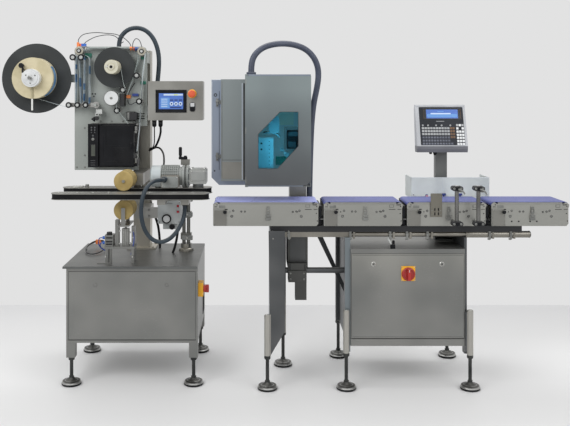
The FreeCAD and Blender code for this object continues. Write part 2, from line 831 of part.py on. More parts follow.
def print_engine():
    """Print engine: hollow case with rollers inside, control strip and hinged cover."""
    front = S.engine_front
    case = block((S.engine_left, S.plate_step - 8), (front, S.engine_back), (S.engine_low, S.engine_high))
    hinge_x = S.engine_left + S.control_strip
    room = block(
        (hinge_x + 16, S.plate_step - 14), (front - 1, front + 70), (S.engine_low + 8, S.engine_high - 8))
    neck = cut(block((S.engine_left - 1, S.plate_step), (S.plate_face - 0.2, plate_back + 0.2),
                     (S.engine_low - 1, S.engine_high + 1)),
               block((S.engine_left + 10.2, S.plate_step - 8), (S.plate_face - 1, plate_back + 1),
                     (S.engine_low + 10.2, S.engine_high - 10.2)))
    strip = block(
        (S.engine_left, hinge_x - 1), (front - S.cover_thick, front), (S.engine_low, S.engine_high))
    pin_x = hinge_x + 9
    bore = rod("Z", pin_x, front - S.cover_thick / 2, S.engine_low + 2, 3 + S.running_gap, 400)
    body = fuse(cut(case, room, neck), strip)
    lug_high = block((pin_x - 7, pin_x + 6), (front - S.cover_thick + 1, front),
                     (S.engine_high - 6, S.engine_high))
    lug_low = block((pin_x - 7, pin_x + 6), (front - S.cover_thick + 1, front),
                    (S.engine_low, S.engine_low + 6))
    roller_a = rod("Y", hinge_x + 60, front + 10, S.engine_low + 60, 16, 60.5)
    roller_b = rod("Y", hinge_x + 60, front + 10, S.engine_low + 150, 24, 60.5)
    head = block((hinge_x + 100, hinge_x + 150), (front + 12, front + 70.5),
                 (S.engine_low + 90, S.engine_low + 120))
    peel = block((S.plate_step - 8, S.engine_right), (front, S.plate_face - 20),
                 (S.engine_low + 4, S.engine_low + 44))
    peel_high = block((S.plate_step - 8, S.engine_right - 2), (front, S.plate_face - 20),
                      (S.engine_high - 40, S.engine_high - 12))
    node(
        "print_engine",
        cut(fuse(body, lug_high, lug_low, roller_a, roller_b, head, peel, peel_high), bore))
    lid = block((pin_x - 2, S.plate_step - 9), (front - S.cover_thick, front - 1),
                (S.engine_low + 8, S.engine_high - 8))
    inner = block((pin_x + 10, S.plate_step - 12), (front - S.cover_thick + 4, front),
                  (S.engine_low + 12, S.engine_high - 12))
    pin = rod("Z", pin_x, front - S.cover_thick / 2, S.engine_low + 3, 3,
              S.engine_high - S.engine_low - 6)
    recess = block((hinge_x + 40, hinge_x + 125), (front - S.cover_thick - 1, front - S.cover_thick + 2),
                   (S.engine_high - 115, S.engine_high - 30))
    node("print_engine_cover", fuse(cut(lid, inner, recess), pin))


def reels():
    """Supply disc with its hub, the label roll, the rewind disc and the nip wheel."""
    face = S.reel_disc_face
    disc = rod("-Y", S.reel_x, face, S.reel_z, S.reel_disc_radius, S.disc_thick)
    hub_back = rod("-Y", S.reel_x, face, S.reel_z, S.core_radius - 1, face - S.roll_front)
    hub_front = turned("-Y", S.reel_x, S.roll_front, S.reel_z, [
        (0, 0), (S.hub_radius, 0), (S.hub_radius, S.roll_front - S.hub_front - 4),
        (S.hub_radius - 4, S.roll_front - S.hub_front), (0, S.roll_front - S.hub_front)])
    bore = rod("-Y", S.reel_x, face + 1, S.reel_z, S.spindle_radius + S.running_gap, 200)
    arm = block((S.reel_x - 4, S.reel_x + 4), (S.roll_front - 8, S.roll_front - 0.2),
                (S.reel_z - S.hub_radius - 125, S.reel_z - 40))
    grip = rod("-Y", S.reel_x - 52, S.roll_front - 0.2, S.reel_z + 67, 9, 24)
    link = block((S.reel_x - 56, S.reel_x - 48), (S.roll_front - 8, S.roll_front - 0.2),
                 (S.reel_z + 10, S.reel_z + 67))
    link_foot = block((S.reel_x - 56, S.reel_x - 10), (S.roll_front - 8, S.roll_front - 0.2),
                      (S.reel_z + 10, S.reel_z + 26))
    node("supply_disc", cut(fuse(disc, hub_back, hub_front, arm, grip, link, link_foot), bore))
    roll = cut(rod("-Y", S.reel_x, face - S.disc_thick, S.reel_z, S.roll_radius,
                   face - S.disc_thick - S.roll_front),
               rod("-Y", S.reel_x, face, S.reel_z, S.core_radius, 200))
    node("label_roll", roll)
    wind_face = S.plate_face - 56 - S.part_gap
    wind_disc = rod("-Y", S.rewind_x, wind_face, S.rewind_z, S.rewind_radius, S.disc_thick)
    reach = S.wind_core_reach
    wind_core = turned("-Y", S.rewind_x, wind_face - S.disc_thick, S.rewind_z, [
        (0, 0), (S.core_radius, 0), (S.core_radius, reach - 4), (S.core_radius - 4, reach), (0, reach)])
    core_front = wind_face - S.disc_thick - reach
    pin = rod("Z", S.rewind_x - 22, core_front - 2, S.rewind_z - 2, 3, 14)
    clip = block((S.rewind_x - 32, S.rewind_x - 10), (core_front - 3, core_front + 1),
                 (S.rewind_z, S.rewind_z + 5))
    wind_bore = rod("-Y", S.rewind_x, wind_face + 1, S.rewind_z, 8 + S.running_gap, 200)
    node("rewind_disc", cut(fuse(wind_disc, wind_core, clip, pin), wind_bore))
    nip_face = S.plate_face - 44 - S.part_gap
    wheel = turned("-Y", S.nip_x, nip_face, S.nip_z, [
        (0, 0), (S.nip_radius - 2, 0), (S.nip_radius, 2), (S.nip_radius, 38), (S.nip_radius - 2, 40),
        (0, 40)])
    node("nip_wheel", cut(wheel, rod("-Y", S.nip_x, nip_face + 1, S.nip_z, 8 + S.running_gap, 37.4)))


# Operator box

bezel_x = (S.hmi_left + 42, S.hmi_right - 89)
bezel_z = (S.hmi_low + 42, S.hmi_high - 47)
stop_x = S.hmi_right - 59
stop_z = S.hmi_high - 69
pair_x = S.hmi_right - 57
pair_z = S.hmi_high - 140


def operator_box():
    """Operator box with its screen, glands, bracket, stop button and double push button."""
    front = 0
    case = block((S.hmi_left, S.hmi_right), (length(front), S.hmi_depth), (S.hmi_low, S.hmi_high))
    case = round_edges(case, 4, V(0, 1, 0))
    collar = rod("-Y", stop_x, 2, stop_z, 18, 8)
    pair_collar = round_edges(
        block((pair_x - 15, pair_x + 15), lengths(-5, 2), (pair_z - 26, pair_z + 26)),
        12, V(0, 1, 0))
    stop_bore = rod("-Y", stop_x, 40, stop_z, 8 + S.running_gap, 60)
    bores = [stop_bore]
    for side in (-12, 12):
        bores.append(block((pair_x - 11, pair_x + 11), lengths(-6, 20),
                           (pair_z + side - 10.2, pair_z + side + 10.2)))
    glands = []
    for gland_x in (S.hmi_left + 28, S.hmi_left + 62):
        glands.append(rod("Z", gland_x, 60, S.hmi_low - 22, 12, 24))
    bracket = block((column_right, S.hmi_left + 76), (S.hmi_depth, column_back - 40),
                    (S.hmi_low + 79, S.hmi_low + 139))
    gland = rod("Z", -655, 165, S.hmi_low + 139, 17, 15)
    screen_seat = block(bezel_x, lengths(-1, 3), bezel_z)
    box = cut(fuse(case, collar, pair_collar, *glands, bracket, gland), *bores, screen_seat)
    node("hmi_box", box)
    bezel = block((bezel_x[0] + 0.2, bezel_x[1] - 0.2), lengths(-5, 3),
                  (bezel_z[0] + 0.2, bezel_z[1] - 0.2))
    glass = block((bezel_x[0] + 14, bezel_x[1] - 14), lengths(-6, -3.5),
                  (bezel_z[0] + 16, bezel_z[1] - 16))
    node("hmi_screen", cut(bezel, glass))
    head = turned("-Y", stop_x, -6 - S.button_travel - 1, stop_z, [
        (0, 0), (16, 0), (20, 4), (20, 12), (16, 16), (0, 18)])
    stem = rod("-Y", stop_x, 25, stop_z, 8, 40)
    node("hmi_stop_button", fuse(head, stem))
    for name, side in (("hmi_start_button", 12), ("hmi_hold_button", -12)):
        cap = round_edges(
            block((pair_x - 10.8, pair_x + 10.8), lengths(-8, 6),
                  (pair_z + side - 10, pair_z + side + 10)), 3, V(0, 1, 0))
        node(name, cap)


# Wrap station: side belts, rollers, lift and drive

front_unit_y = S.lane_middle - S.lane_width / 2 - S.side_unit_width / 2
back_unit_y = S.lane_middle + S.lane_width / 2 + S.side_unit_width / 2
unit_radius = S.side_unit_width / 2
pulley_x = S.side_right - unit_radius


def stadium(middle_y, radius, low, high, left, right):
    """A long plate with half-round ends."""
    straight = block((left + unit_radius, right - unit_radius), (middle_y - radius, middle_y + radius),
                     (low, high))
    ends = [rod("Z", x, middle_y, low, radius, high - low)
            for x in (left + unit_radius, right - unit_radius)]
    return fuse(straight, *ends)


def side_belts():
    """The two side-belt units: plates, fixed idler pulleys, belts and the drive pulleys."""
    frames = []
    belts = []
    plate_radius = unit_radius
    for middle_y, name in ((front_unit_y, "front_drive_pulley"), (back_unit_y, "back_drive_pulley")):
        low_plate = stadium(middle_y, plate_radius, S.side_low, S.side_low + S.side_plate,
                            S.side_left, S.side_right)
        high_plate = stadium(middle_y, plate_radius, S.side_high - S.side_plate, S.side_high,
                             S.side_left, S.side_right)
        core_x = (S.side_left + 2 * unit_radius, S.side_right - 2 * unit_radius)
        core = block(core_x, (middle_y - 30, middle_y + 30), (S.side_low, S.side_high))
        idler = rod("Z", S.side_left + unit_radius, middle_y, S.side_low, S.pulley_radius,
                    S.side_high - S.side_low)
        axle = rod("Z", pulley_x, middle_y, S.side_low - 1, 8, S.side_high - S.side_low + 1)
        frames.append(fuse(low_plate, high_plate, core, idler, axle))
        belt_low = S.side_low + S.side_plate + 0.5
        belt_high = S.side_high - S.side_plate - 0.5
        outer = stadium(middle_y, S.pulley_radius + 0.3 + S.side_belt_thick, belt_low, belt_high,
                        S.side_left, S.side_right)
        inner = stadium(middle_y, S.pulley_radius + 0.3, belt_low, belt_high, S.side_left, S.side_right)
        belts.append(cut(outer, inner))
        pulley = cut(rod("Z", pulley_x, middle_y, belt_low, S.pulley_radius, belt_high - belt_low),
                     rod("Z", pulley_x, middle_y, belt_low, 8 + S.running_gap, belt_high - belt_low))
        node(name, pulley)
    lane_back = back_unit_y - unit_radius
    lane_front = front_unit_y - unit_radius
    beams = []
    for beam_x in (-600, -480):
        beams.append(block(lengths(beam_x, beam_x + 40), (lane_front + 20, S.post_y + 20),
                           (S.side_low - 27, S.side_low)))
    head = block((column_right - 77, column_right - 1), (length(-66), S.column_front),
                 (S.upper_foam_z - 36, S.upper_foam_z + 26))
    ear = block((S.foam_x - 20, column_right - 1), lengths(-76, -66),
                (S.upper_foam_z - 36, S.upper_foam_z + 26))
    shaft = rod("-Y", S.foam_x, -66, S.upper_foam_z, 8, S.foam_length + 20)
    head_leg = block((column_right - 60, column_right - 20), lengths(-20, 10),
                     (S.side_high, S.upper_foam_z - 30))
    hose_gland = rod("Z", -467, -212, S.side_low - 42, 15, 16)
    tower = fuse(rod("Z", S.crank_x, S.crank_y, S.side_high, 14, 117),
                 block((S.crank_x - 24, S.crank_x + 24), (S.crank_y - 12, S.crank_y + 20),
                       (S.side_high + 117, S.side_high + 146)))
    crank_bore = rod("Z", S.crank_x, S.crank_y, S.side_high + 4, S.spindle_radius + S.running_gap, 200)
    tower = cut(tower, crank_bore)
    frame = fuse(*frames, *beams, head, ear, shaft, head_leg, hose_gland, tower)
    node("side_belt_frames", frame)
    node("side_belts", *belts)


def gearmotor():
    """Gearmotor that drives the belts, with cooling fins, junction box and gearbox."""
    left = -655
    profile = [(0, 0), (46, 0), (S.motor_radius - 2, 8), (S.motor_radius - 2, 44), (S.motor_radius - 8, 46)]
    for fin in range(9):
        start = 50 + 11 * fin
        profile += [(S.motor_radius - 8, start), (S.motor_radius, start + 1), (S.motor_radius, start + 5),
                    (S.motor_radius - 8, start + 6)]
    profile += [(S.motor_radius - 8, 160), (S.motor_radius, 164), (S.motor_radius, 176), (44, 180),
                (44, 204), (0, 204)]
    case = turned("X", left, S.motor_y, S.motor_z, profile)
    terminal = round_edges(
        block(lengths(-596, -505), (length(-163), S.motor_y), (S.side_high + 10, S.motor_z + 10)),
        5, V(0, 1, 0))
    gland = rod("-Y", -578, -160, S.motor_z - 6, 14, 20)
    gearbox = round_edges(
        block(lengths(-452, -361), (S.motor_y - 48, S.motor_y + 48), (S.motor_z - 37, S.motor_z + 39)),
        6, V(0, 1, 0))
    stand = rod("Z", -411, S.motor_y + 40, S.side_high, 29, 30)
    cap = rod("Z", -411, S.motor_y, S.motor_z + 39, 24, 5)
    foot_pad = block(lengths(-640, -560), (S.motor_y + 10, S.motor_y + 46), (S.side_high, S.motor_z - 30))
    node("side_belt_gearmotor", fuse(case, terminal, gland, gearbox, stand, cap, foot_pad))


def crank():
    """Hand crank on the height spindle."""
    seat = S.side_high + 146 + S.part_gap
    spindle = rod("Z", S.crank_x, S.crank_y, S.side_high + 6, S.spindle_radius, 160)
    arm = block((S.crank_x - 36, S.crank_x + 11), (S.crank_y - 9, S.crank_y + 9), (seat, seat + 14))
    arm = round_edges(arm, 8, V(0, 0, 1))
    grip = turned("Z", S.crank_x - 27, S.crank_y, seat + 10, [
        (0, 0), (7, 0), (7, 8), (9, 14), (9, 50), (7, 56), (0, 58)])
    node("crank_handle", fuse(spindle, arm, grip))


def foam_roller(name, middle_z):
    """A foam-covered applicator roller on a fixed shaft."""
    tyre = turned("Y", S.foam_x, S.foam_front, middle_z, [
        (S.foam_shaft_radius + S.running_gap, 0), (S.foam_radius - 2, 0), (S.foam_radius, 2),
        (S.foam_radius, S.foam_length - 2), (S.foam_radius - 2, S.foam_length),
        (S.foam_shaft_radius + S.running_gap, S.foam_length)])
    node(name, tyre)


def lift_unit():
    """Pneumatic lift on the table, and the carriage that holds the lower roller."""
    middle = S.foam_x
    base = block((middle - 104, middle + 53), lengths(-190, -90), lengths(690, 702))
    legs = [block((middle + x, middle + x + 14), lengths(y, y + 20), (table_top, length(690)))
            for x in (-100, 35) for y in (-186, -114)]
    barrel = block((middle - 18, middle + 18), lengths(-160, -124), lengths(702, 790))
    groove = [block((middle + x - 2, middle + x + 2), lengths(-161, -156), lengths(706, 787))
              for x in (-8, 8)]
    rail = block((middle - 52, middle - 34), lengths(-165, -120), lengths(702, S.lift_floor + 16))
    back_rail = block((middle + 31, middle + 49), lengths(-150, -112), lengths(702, 800))
    valve = block((middle - 104, middle - 60), lengths(-180, -120), lengths(702, 760))
    ports = [rod("X", middle - 118, -160, z, 8, 16) for z in (718, 744)]
    knob = rod("Z", middle - 84, -150, 760, 14, 12)
    shelf = block((middle - 142, middle - 67), lengths(-190, -176), (table_top, table_top + 5))
    shelf_leg = block((middle - 73, middle - 67), lengths(-190, -176), (table_top, length(690)))
    bore = rod("Z", middle, -142, 705, S.piston_radius + S.running_gap, 100)
    unit = cut(
        fuse(base, *legs, barrel, rail, back_rail, valve, *ports, knob, shelf, shelf_leg), bore, *groove)
    node("lift_actuator", unit)
    yoke = block((middle - 30, middle + 30), lengths(-232, -73), (S.lift_floor - 8, S.lift_floor))
    front_arm = block(
        (middle - 10, middle + 10), lengths(-232, -226), (S.lift_floor - 1, S.lower_foam_z + 14))
    back_arm = block(
        (middle - 10, middle + 10), lengths(-79, -73), (S.lift_floor - 1, S.lower_foam_z + 14))
    shaft = rod("Y", middle, -228, S.lower_foam_z, S.foam_shaft_radius, 151)
    piston = rod("Z", middle, -142, 740, S.piston_radius, S.lift_floor - 4 - 740)
    node("lift_carriage", fuse(yoke, front_arm, back_arm, shaft, piston))


def drive_box():
    """Drive housing with its gauge and lamps on an arm from the column."""
    case = round_edges(block(lengths(-622, -498), lengths(-90, 60), lengths(804, 926)),
                       8, V(0, 1, 0))
    lower = block(lengths(-596, -520), lengths(-70, 40), lengths(773, 806))
    top_mount = block(lengths(-600, -560), lengths(-60, 30), (length(920), S.side_low - 27))
    ring = cut(rod("-Y", -574, -89, 832, 24, 11), rod("-Y", -574, -95, 832, 18, 12))
    lamps = [rod("-Y", -514, -89, z, 6, 8) for z in (900, 870)]
    arm = block(lengths(-698, -600), lengths(40, 56), lengths(814, 873))
    strut = block(lengths(-760, -680), (length(40), S.column_front), lengths(814, 873))
    bolts = [rod("-Y", -685, 40, z, 5, 4) for z in (826, 861)]
    knob = rod("-Y", -545, -70, 790, 11, 20)
    node("wrap_drive_box", fuse(case, lower, top_mount, ring, *lamps, arm, strut, *bolts, knob))


# Conveyor line: beds, belts and rollers

CONVEYORS = [("conveyor_1", -319, 540), ("conveyor_2", 245, 403), ("conveyor_3", 669, 404),
             ("conveyor_4", 1099, 396)]


def conveyor_bed(name, left, reach):
    """A conveyor bed: two side plates, slider bed, cross bars, covers and latch plates."""
    right = left + reach
    nose = S.belt_top - S.belt_thick - S.nose_radius
    low, high = S.bed_low, S.bed_high
    outline = [
        (length(left), low + 3), (length(left + 3), low), (length(right - 14), low),
        (length(right - 4), low + 12),
        (length(right - 4), nose - 18), (length(right), nose - 8), (length(right), nose + 3),
        (length(right - 6), high), (length(left + 6), high), (length(left), nose + 3)]
    holes = [(length(left + 16), nose, S.journal_radius + S.running_gap),
             (length(right - 15), nose, S.journal_radius + S.running_gap),
             (length(left + 86), low + 72, 3), (length(left + 100), low + 52, 3),
             (length(right - 110), low + 72, 3), (length(right - 92), low + 48, 5)]
    pieces = []
    plates = [
        plate("XZ", outline, S.bed_front, S.bed_front + S.bed_plate, holes),
        plate("XZ", outline, S.bed_back - S.bed_plate, S.bed_back, holes)]
    inner_y = (S.bed_front + S.bed_plate - 0.5, S.bed_back - S.bed_plate + 0.5)
    slider = block(lengths(left + 34, right - 34), inner_y,
                   (S.belt_top - S.belt_thick - 12, S.belt_top - S.belt_thick - 0.3))
    bars = [block(lengths(x, x + 30), inner_y, (low, low + 12)) for x in (left + 40, right - 80)]
    gear_case = block(lengths(left + 90, right - 130), (S.bed_front + 30, S.bed_back - 30),
                      (low + 2, low + 52))
    floor = block(lengths(left + 60, right - 60), inner_y, (low, low + 2.5))
    pieces.append(fuse(*plates, slider, *bars, gear_case, floor))
    cover = block(lengths(left + 3, left + 71), (S.bed_front - 3, S.bed_front), (low + 1, low + 83))
    cover_lip = block(lengths(left + 3, left + 60), (S.bed_front - 6, S.bed_front), (low + 84, low + 87))
    pieces.append(nose_roller(left + 16))
    pieces.append(cover)
    pieces.append(cover_lip)
    pieces.append(rod("-Y", left + 61, S.bed_front - 3, low + 73, 9, 8))
    latch_x = left + reach * 0.5 + 10
    latch = plate("XZ", [
        (length(latch_x - 15), low + 31), (length(latch_x + 15), low + 31),
        (length(latch_x + 15), low + 62),
        (length(latch_x + 8), low + 72), (length(latch_x + 8), low + 101), (length(latch_x - 8), low + 101),
        (length(latch_x - 8), low + 72), (length(latch_x - 15), low + 62)], S.bed_front - 4, S.bed_front)
    pieces.append(latch)
    node(f"{name}_bed", *pieces)


def conveyor_belts():
    """The four belts: each a closed loop round its two nose rollers."""
    loops = []
    for name, left, reach in CONVEYORS:
        belt_y = (S.bed_front + S.belt_side_gap, S.bed_back - S.belt_side_gap)
        nose = S.belt_top - S.belt_thick - S.nose_radius
        ends = lengths(left + 16, left + reach - 15)
        skins = []
        for radius in (S.nose_radius + S.belt_thick, S.nose_radius + 0.3):
            middle = block((ends[0], ends[1]), belt_y, (nose - radius, nose + radius))
            rounds = [rod("Y", x, belt_y[0], nose, radius, belt_y[1] - belt_y[0]) for x in ends]
            skins.append(fuse(middle, *rounds))
        loops.append(cut(*skins))
    node("conveyor_belts", *loops)


def nose_roller(x):
    """A small roller on journals that turn in the two side plates."""
    nose = S.belt_top - S.belt_thick - S.nose_radius
    journal = rod("Y", x, S.bed_front + S.part_gap, nose, S.journal_radius,
                  S.bed_back - S.bed_front - 2 * S.part_gap)
    drum = rod("Y", x, S.bed_front + S.bed_plate + 1, nose, S.nose_radius,
               S.bed_back - S.bed_front - 2 * S.bed_plate - 2)
    return fuse(journal, drum)


def conveyor_rollers():
    """Each conveyor's drive roller at its right end."""
    for name, left, reach in CONVEYORS:
        node(f"{name}_drive_roller", nose_roller(left + reach - 15))


def line_rails():
    """Beams, round rails, cross ties and clamp bolts under the conveyors."""
    beams = []
    for middle in (S.front_rail_y, S.back_rail_y):
        beam_y = (middle - S.beam_width / 2, middle + S.beam_width / 2)
        beams.append(block((S.beam_left, S.beam_right), beam_y, (S.beam_low, S.bed_low)))
    rail_z = S.beam_low - S.rail_drop
    flat = block(
        (S.beam_left, length(382)), (S.front_rail_y - 14, S.front_rail_y + 10),
        (rail_z - 12, S.beam_low))
    flat_back = block(
        (S.beam_left, length(382)), (S.back_rail_y - 10, S.back_rail_y + 14), (rail_z - 12, S.beam_low))
    rounds = []
    for middle in (S.front_rail_y, S.back_rail_y):
        rounds.append(rod("X", 380, middle, rail_z, S.rail_radius, 595))
        rounds.append(rod("X", 973, middle, rail_z, 17, 325))
        rounds.append(turned("X", 1296, middle, rail_z, [(0, 0), (18, 0), (18, 5), (14, 9), (0, 9)]))
    ties = []
    for tie_x in (40, 500, 760, 1180):
        ties.append(block(lengths(tie_x, tie_x + 40), (S.front_rail_y, S.back_rail_y),
                          (S.beam_low + 4, S.bed_low - 4)))
    ties.append(block(lengths(834, 914), (S.front_rail_y, S.back_rail_y),
                      (S.beam_low + 4, S.beam_low + 10)))
    bolts = []
    for bolt_x in (-10, 68, 395, 598, 683, 793, 1105, 1213):
        bolts.append(block(lengths(bolt_x, bolt_x + 10), (S.front_rail_y - 19, S.front_rail_y + 8),
                           (rail_z - 20, S.beam_low)))
    node("line_rails", fuse(*beams, flat, flat_back, *rounds, *ties, *bolts))


def line_stand():
    """Folded leg panel, stand posts with their sleeves, crossbar and diagonal brace."""
    web = block(lengths(-28, -25), lengths(-287, 89), (S.stand_low, S.beam_low + 11))
    flange = plate("XZ", [
        (length(-28), S.stand_low), (length(46), S.stand_low + 125), (length(46), S.beam_low + 11),
        (length(-37), S.beam_low + 11)], length(-290), length(-287))
    back_flange = plate("XZ", [
        (length(-25), S.stand_low + 14), (length(66), S.stand_low + 14), (length(66), S.beam_low + 11),
        (length(-25), S.beam_low + 11)], length(86), length(89))
    sleeves = []
    for name, top in (("leg_front", 376), ("leg_back", 376), ("left_front", 400), ("left_back", 414),
                      ("right_front", 400), ("right_back", 414)):
        x, y, low = stand_feet[name]
        sleeves.append(rod("Z", x, y, low, S.sleeve_radius, top - low - 3))
        sleeves.append(rod("Z", x, y, length(top - 4), S.sleeve_radius - 3, 4))
    rail_low = S.beam_low - S.rail_drop - 12
    left_post = block(lengths(352, 380), lengths(-268, -228), (S.stand_low + 15, rail_low))
    left_back_post = block(lengths(352, 380), lengths(168, 206), (S.stand_low + 50, rail_low))
    left_web = block(lengths(370, 380), lengths(-240, 180), (S.line_low, S.line_high))
    left_head = block(lengths(352, 380), lengths(-240, 206), (rail_low - 12, rail_low))
    right_post = block((line_right, line_right + 13), lengths(-268, -228), (S.stand_low + 5, rail_low))
    right_back_post = block((line_right, line_right + 30), lengths(168, 206), (S.stand_low + 50, rail_low))
    right_web = block((line_right, line_right + 3), lengths(-268, 180), (S.line_low, S.line_high))
    right_head = block((line_right, line_right + 13), lengths(-240, -32), (rail_low - 12, rail_low))
    right_rib = block((line_right, line_right + 3), lengths(-240, -32), (S.line_high - 10, rail_low))
    right_lug = block((line_right, length(985)), lengths(-290, -262), (S.stand_low + 20, length(390)))
    crossbar = rod("X", -27, S.crossbar_y, S.crossbar_z, S.crossbar_radius, 399)
    brace = plate("XZ", [
        (length(212), rail_low), lengths(371, 436), lengths(371, 480),
        (length(243), rail_low)], length(-66), length(-54))
    left_stand = [left_post, left_back_post, left_web, left_head]
    right_stand = [right_post, right_back_post, right_web, right_head, right_rib, right_lug]
    node("line_leg_panels", fuse(web, flange, back_flange, *sleeves, *left_stand, *right_stand,
                                 crossbar, brace))


line_door_x = (S.line_left + S.line_door_side, line_right - S.line_door_side)
line_door_z = (S.line_door_low, S.line_door_high)
line_back = S.line_front + S.line_depth


def line_cabinet():
    """Electrical cabinet under the weighing conveyor, with its drop-down door."""
    stiles = []
    for x in (S.line_left, line_right - 40):
        stiles.append(block((x, x + 40), (S.line_front, S.line_front + S.door_depth + 6),
                            (S.line_low, S.line_high)))
    shell = cabinet_shell(
        (S.line_left, line_right), (S.line_front, line_back), (S.line_low, S.line_high),
        line_door_x, line_door_z, length(40), stiles)
    node("line_cabinet", cut(shell, hinge_bores(line_door_x, S.line_front, S.line_door_low)))
    lock_z = S.line_door_high - 51
    locks = [(line_door_x[0] + 111, lock_z), (line_door_x[1] - 112, lock_z)]
    pieces = drop_door(line_door_x, S.line_front, line_door_z, locks)
    knob_x = S.line_left + 292
    knob_z = S.line_door_high - 101
    plate_box = block(
        (knob_x - 35, knob_x + 35), (S.line_front - 4, S.line_front), (knob_z - 35, knob_z + 39))
    bore = rod("Y", knob_x, S.line_front - 5, knob_z, 6 + S.running_gap, 40)
    node("line_door", cut(pieces[0], bore), *pieces[1:], cut(plate_box, bore))
    ring = turned("-Y", knob_x, S.line_front - 4 - S.part_gap, knob_z, [
        (0, 0), (S.line_knob_radius, 0), (S.line_knob_radius, 6), (S.line_knob_radius - 4, 10), (0, 10)])
    grip = block(
        (knob_x - 8, knob_x + 8), (S.line_front - 34, S.line_front - 12), (knob_z - 28, knob_z + 28))
    stem = rod("Y", knob_x, S.line_front - 10, knob_z, 6, 30)
    node("line_isolator_knob", fuse(ring, grip, stem))


def control_gear():
    """Mounting plates with drives, relays and terminals inside both cabinets."""
    pieces = []
    for left, right, back, low, high in (
            (S.wrap_left + 60, wrap_right - 60, wrap_back - S.sheet, S.wrap_low + 40, S.wrap_high - 40),
            (S.line_left + 50, line_right - 50, line_back - S.sheet, S.line_low + 60, S.line_high - 60)):
        panel = block((left, right), (back - 3, back), (low, high))
        drive = block((left + 30, left + 130), (back - 120, back - 3), (low + 60, low + 250))
        supply = block((left + 150, left + 230), (back - 100, back - 3), (low + 110, low + 240))
        relays = block((left + 250, right - 60), (back - 80, back - 3), (low + 150, low + 230))
        terminals = block((left + 150, right - 40), (back - 50, back - 3), (low + 30, low + 70))
        pieces.append(fuse(panel, drive, supply, relays, terminals))
    node("control_gear", *pieces)


def load_cell():
    """Load cell that carries the weighing conveyor's bed."""
    bar = block(lengths(844, 904), lengths(-170, -130), (S.beam_low + 10, S.bed_low))
    node("load_cell", bar)


# Labeler hood

WINDOW = [(21, 1403), (113, 1403), (113, 1231), (9, 1118), (-88, 1118), (-88, 1291)]


def labeler_hood():
    """Stepped stainless hood: back shell, side shell and front box, hollow and open below."""
    back_shell = plate("XZ", [
        (S.shell_left + S.shell_chamfer, S.shell_low), (S.shell_right, S.shell_low),
        (S.shell_right, S.mid_high), (S.shell_left, S.mid_high),
        (S.shell_left, S.shell_low + S.shell_chamfer)], S.shell_front, S.shell_back)
    side_shell = block((S.mid_left, S.shell_right), (S.mid_front, S.shell_front), (S.mid_low, S.mid_high))
    front_box = block((S.hood_left, S.hood_right), (S.hood_front + S.hood_door + 2, S.mid_front + 5),
                      (S.hood_low, S.hood_high))
    room_front = block(
        (S.hood_left + S.sheet, S.hood_right - S.sheet), (S.hood_front, S.mid_front + 10),
        (S.hood_low + S.sheet, S.hood_high - S.sheet))
    room_side = block(
        (S.mid_left + S.sheet, S.shell_right - S.sheet), (S.mid_front + S.sheet, S.shell_front + 5),
        (S.mid_low + S.sheet, S.mid_high - S.sheet))
    way = block((S.hood_left + 10, length(150)), (S.mid_front - 5, S.mid_front + 5),
                (S.mid_low + 10, S.mid_high - 10))
    mouth = block(
        lengths(-60, 60), (S.mid_front - 70, S.shell_front - 10), (S.hood_low - 5, S.mid_low + 10))
    hinge_x = S.hood_left + 6
    hinge_y = S.hood_front + S.hood_door / 2
    bore = rod("Z", hinge_x, hinge_y, S.hood_low - 2, 3 + S.running_gap, 600)
    lugs = [block((S.hood_left, S.hood_left + 14), (S.hood_front + 3, S.hood_front + S.hood_door + 5), z)
            for z in ((S.hood_low, S.hood_low + 8), (S.hood_high - 8, S.hood_high))]
    gland_base = rod("Z", -125, -40, S.mid_high, 24, 20)
    gland = cone("Z", -125, -40, S.mid_high + 18, 22, 19, 24)
    mount = block((S.post_left, S.post_left + 75), (S.shell_back, S.post_front), lengths(1150, 1450))
    latches = []
    for latch_z in (1431, 1143):
        latches.append(block((S.shell_left + 24, S.shell_left + 38), (S.shell_front - 10, S.shell_front),
                             lengths(latch_z, latch_z + 36)))
    shell = cut(fuse(back_shell, side_shell, front_box), room_front, room_side, way, mouth)
    node("labeler_body", cut(fuse(shell, *lugs, gland_base, gland, mount, *latches), bore))
    door_low = S.hood_low + 8.5
    door_high = S.hood_high - 8.5
    outline = [
        (S.hood_left, door_low), (S.hood_right - S.hood_chamfer + 15, door_low),
        (S.hood_right, door_low + S.hood_chamfer - 15), (S.hood_right, door_high), (S.hood_left, door_high)]
    panel = plate("XZ", outline, S.hood_front, S.hood_front + S.hood_door)
    hollow = block(
        (S.hood_left + 16, S.hood_right - S.sheet),
        (S.hood_front + S.sheet, S.hood_front + S.hood_door + 1),
        (door_low + 28, door_high - S.sheet))
    opening = plate("XZ", [lengths(x, z) for x, z in WINDOW], S.hood_front - 1, S.hood_front + S.sheet + 1)
    pin = rod("Z", hinge_x, hinge_y, S.hood_low + 1, 3, S.hood_high - S.hood_low - 2)
    node("labeler_door", fuse(cut(panel, hollow, opening), pin))
    pane = plate("XZ", [(length(x * 1.1 - 2), length(1262 + (z - 1262) * 1.06)) for x, z in WINDOW],
                 S.hood_front + S.sheet, S.hood_front + S.sheet + 4)
    node("labeler_window", pane)


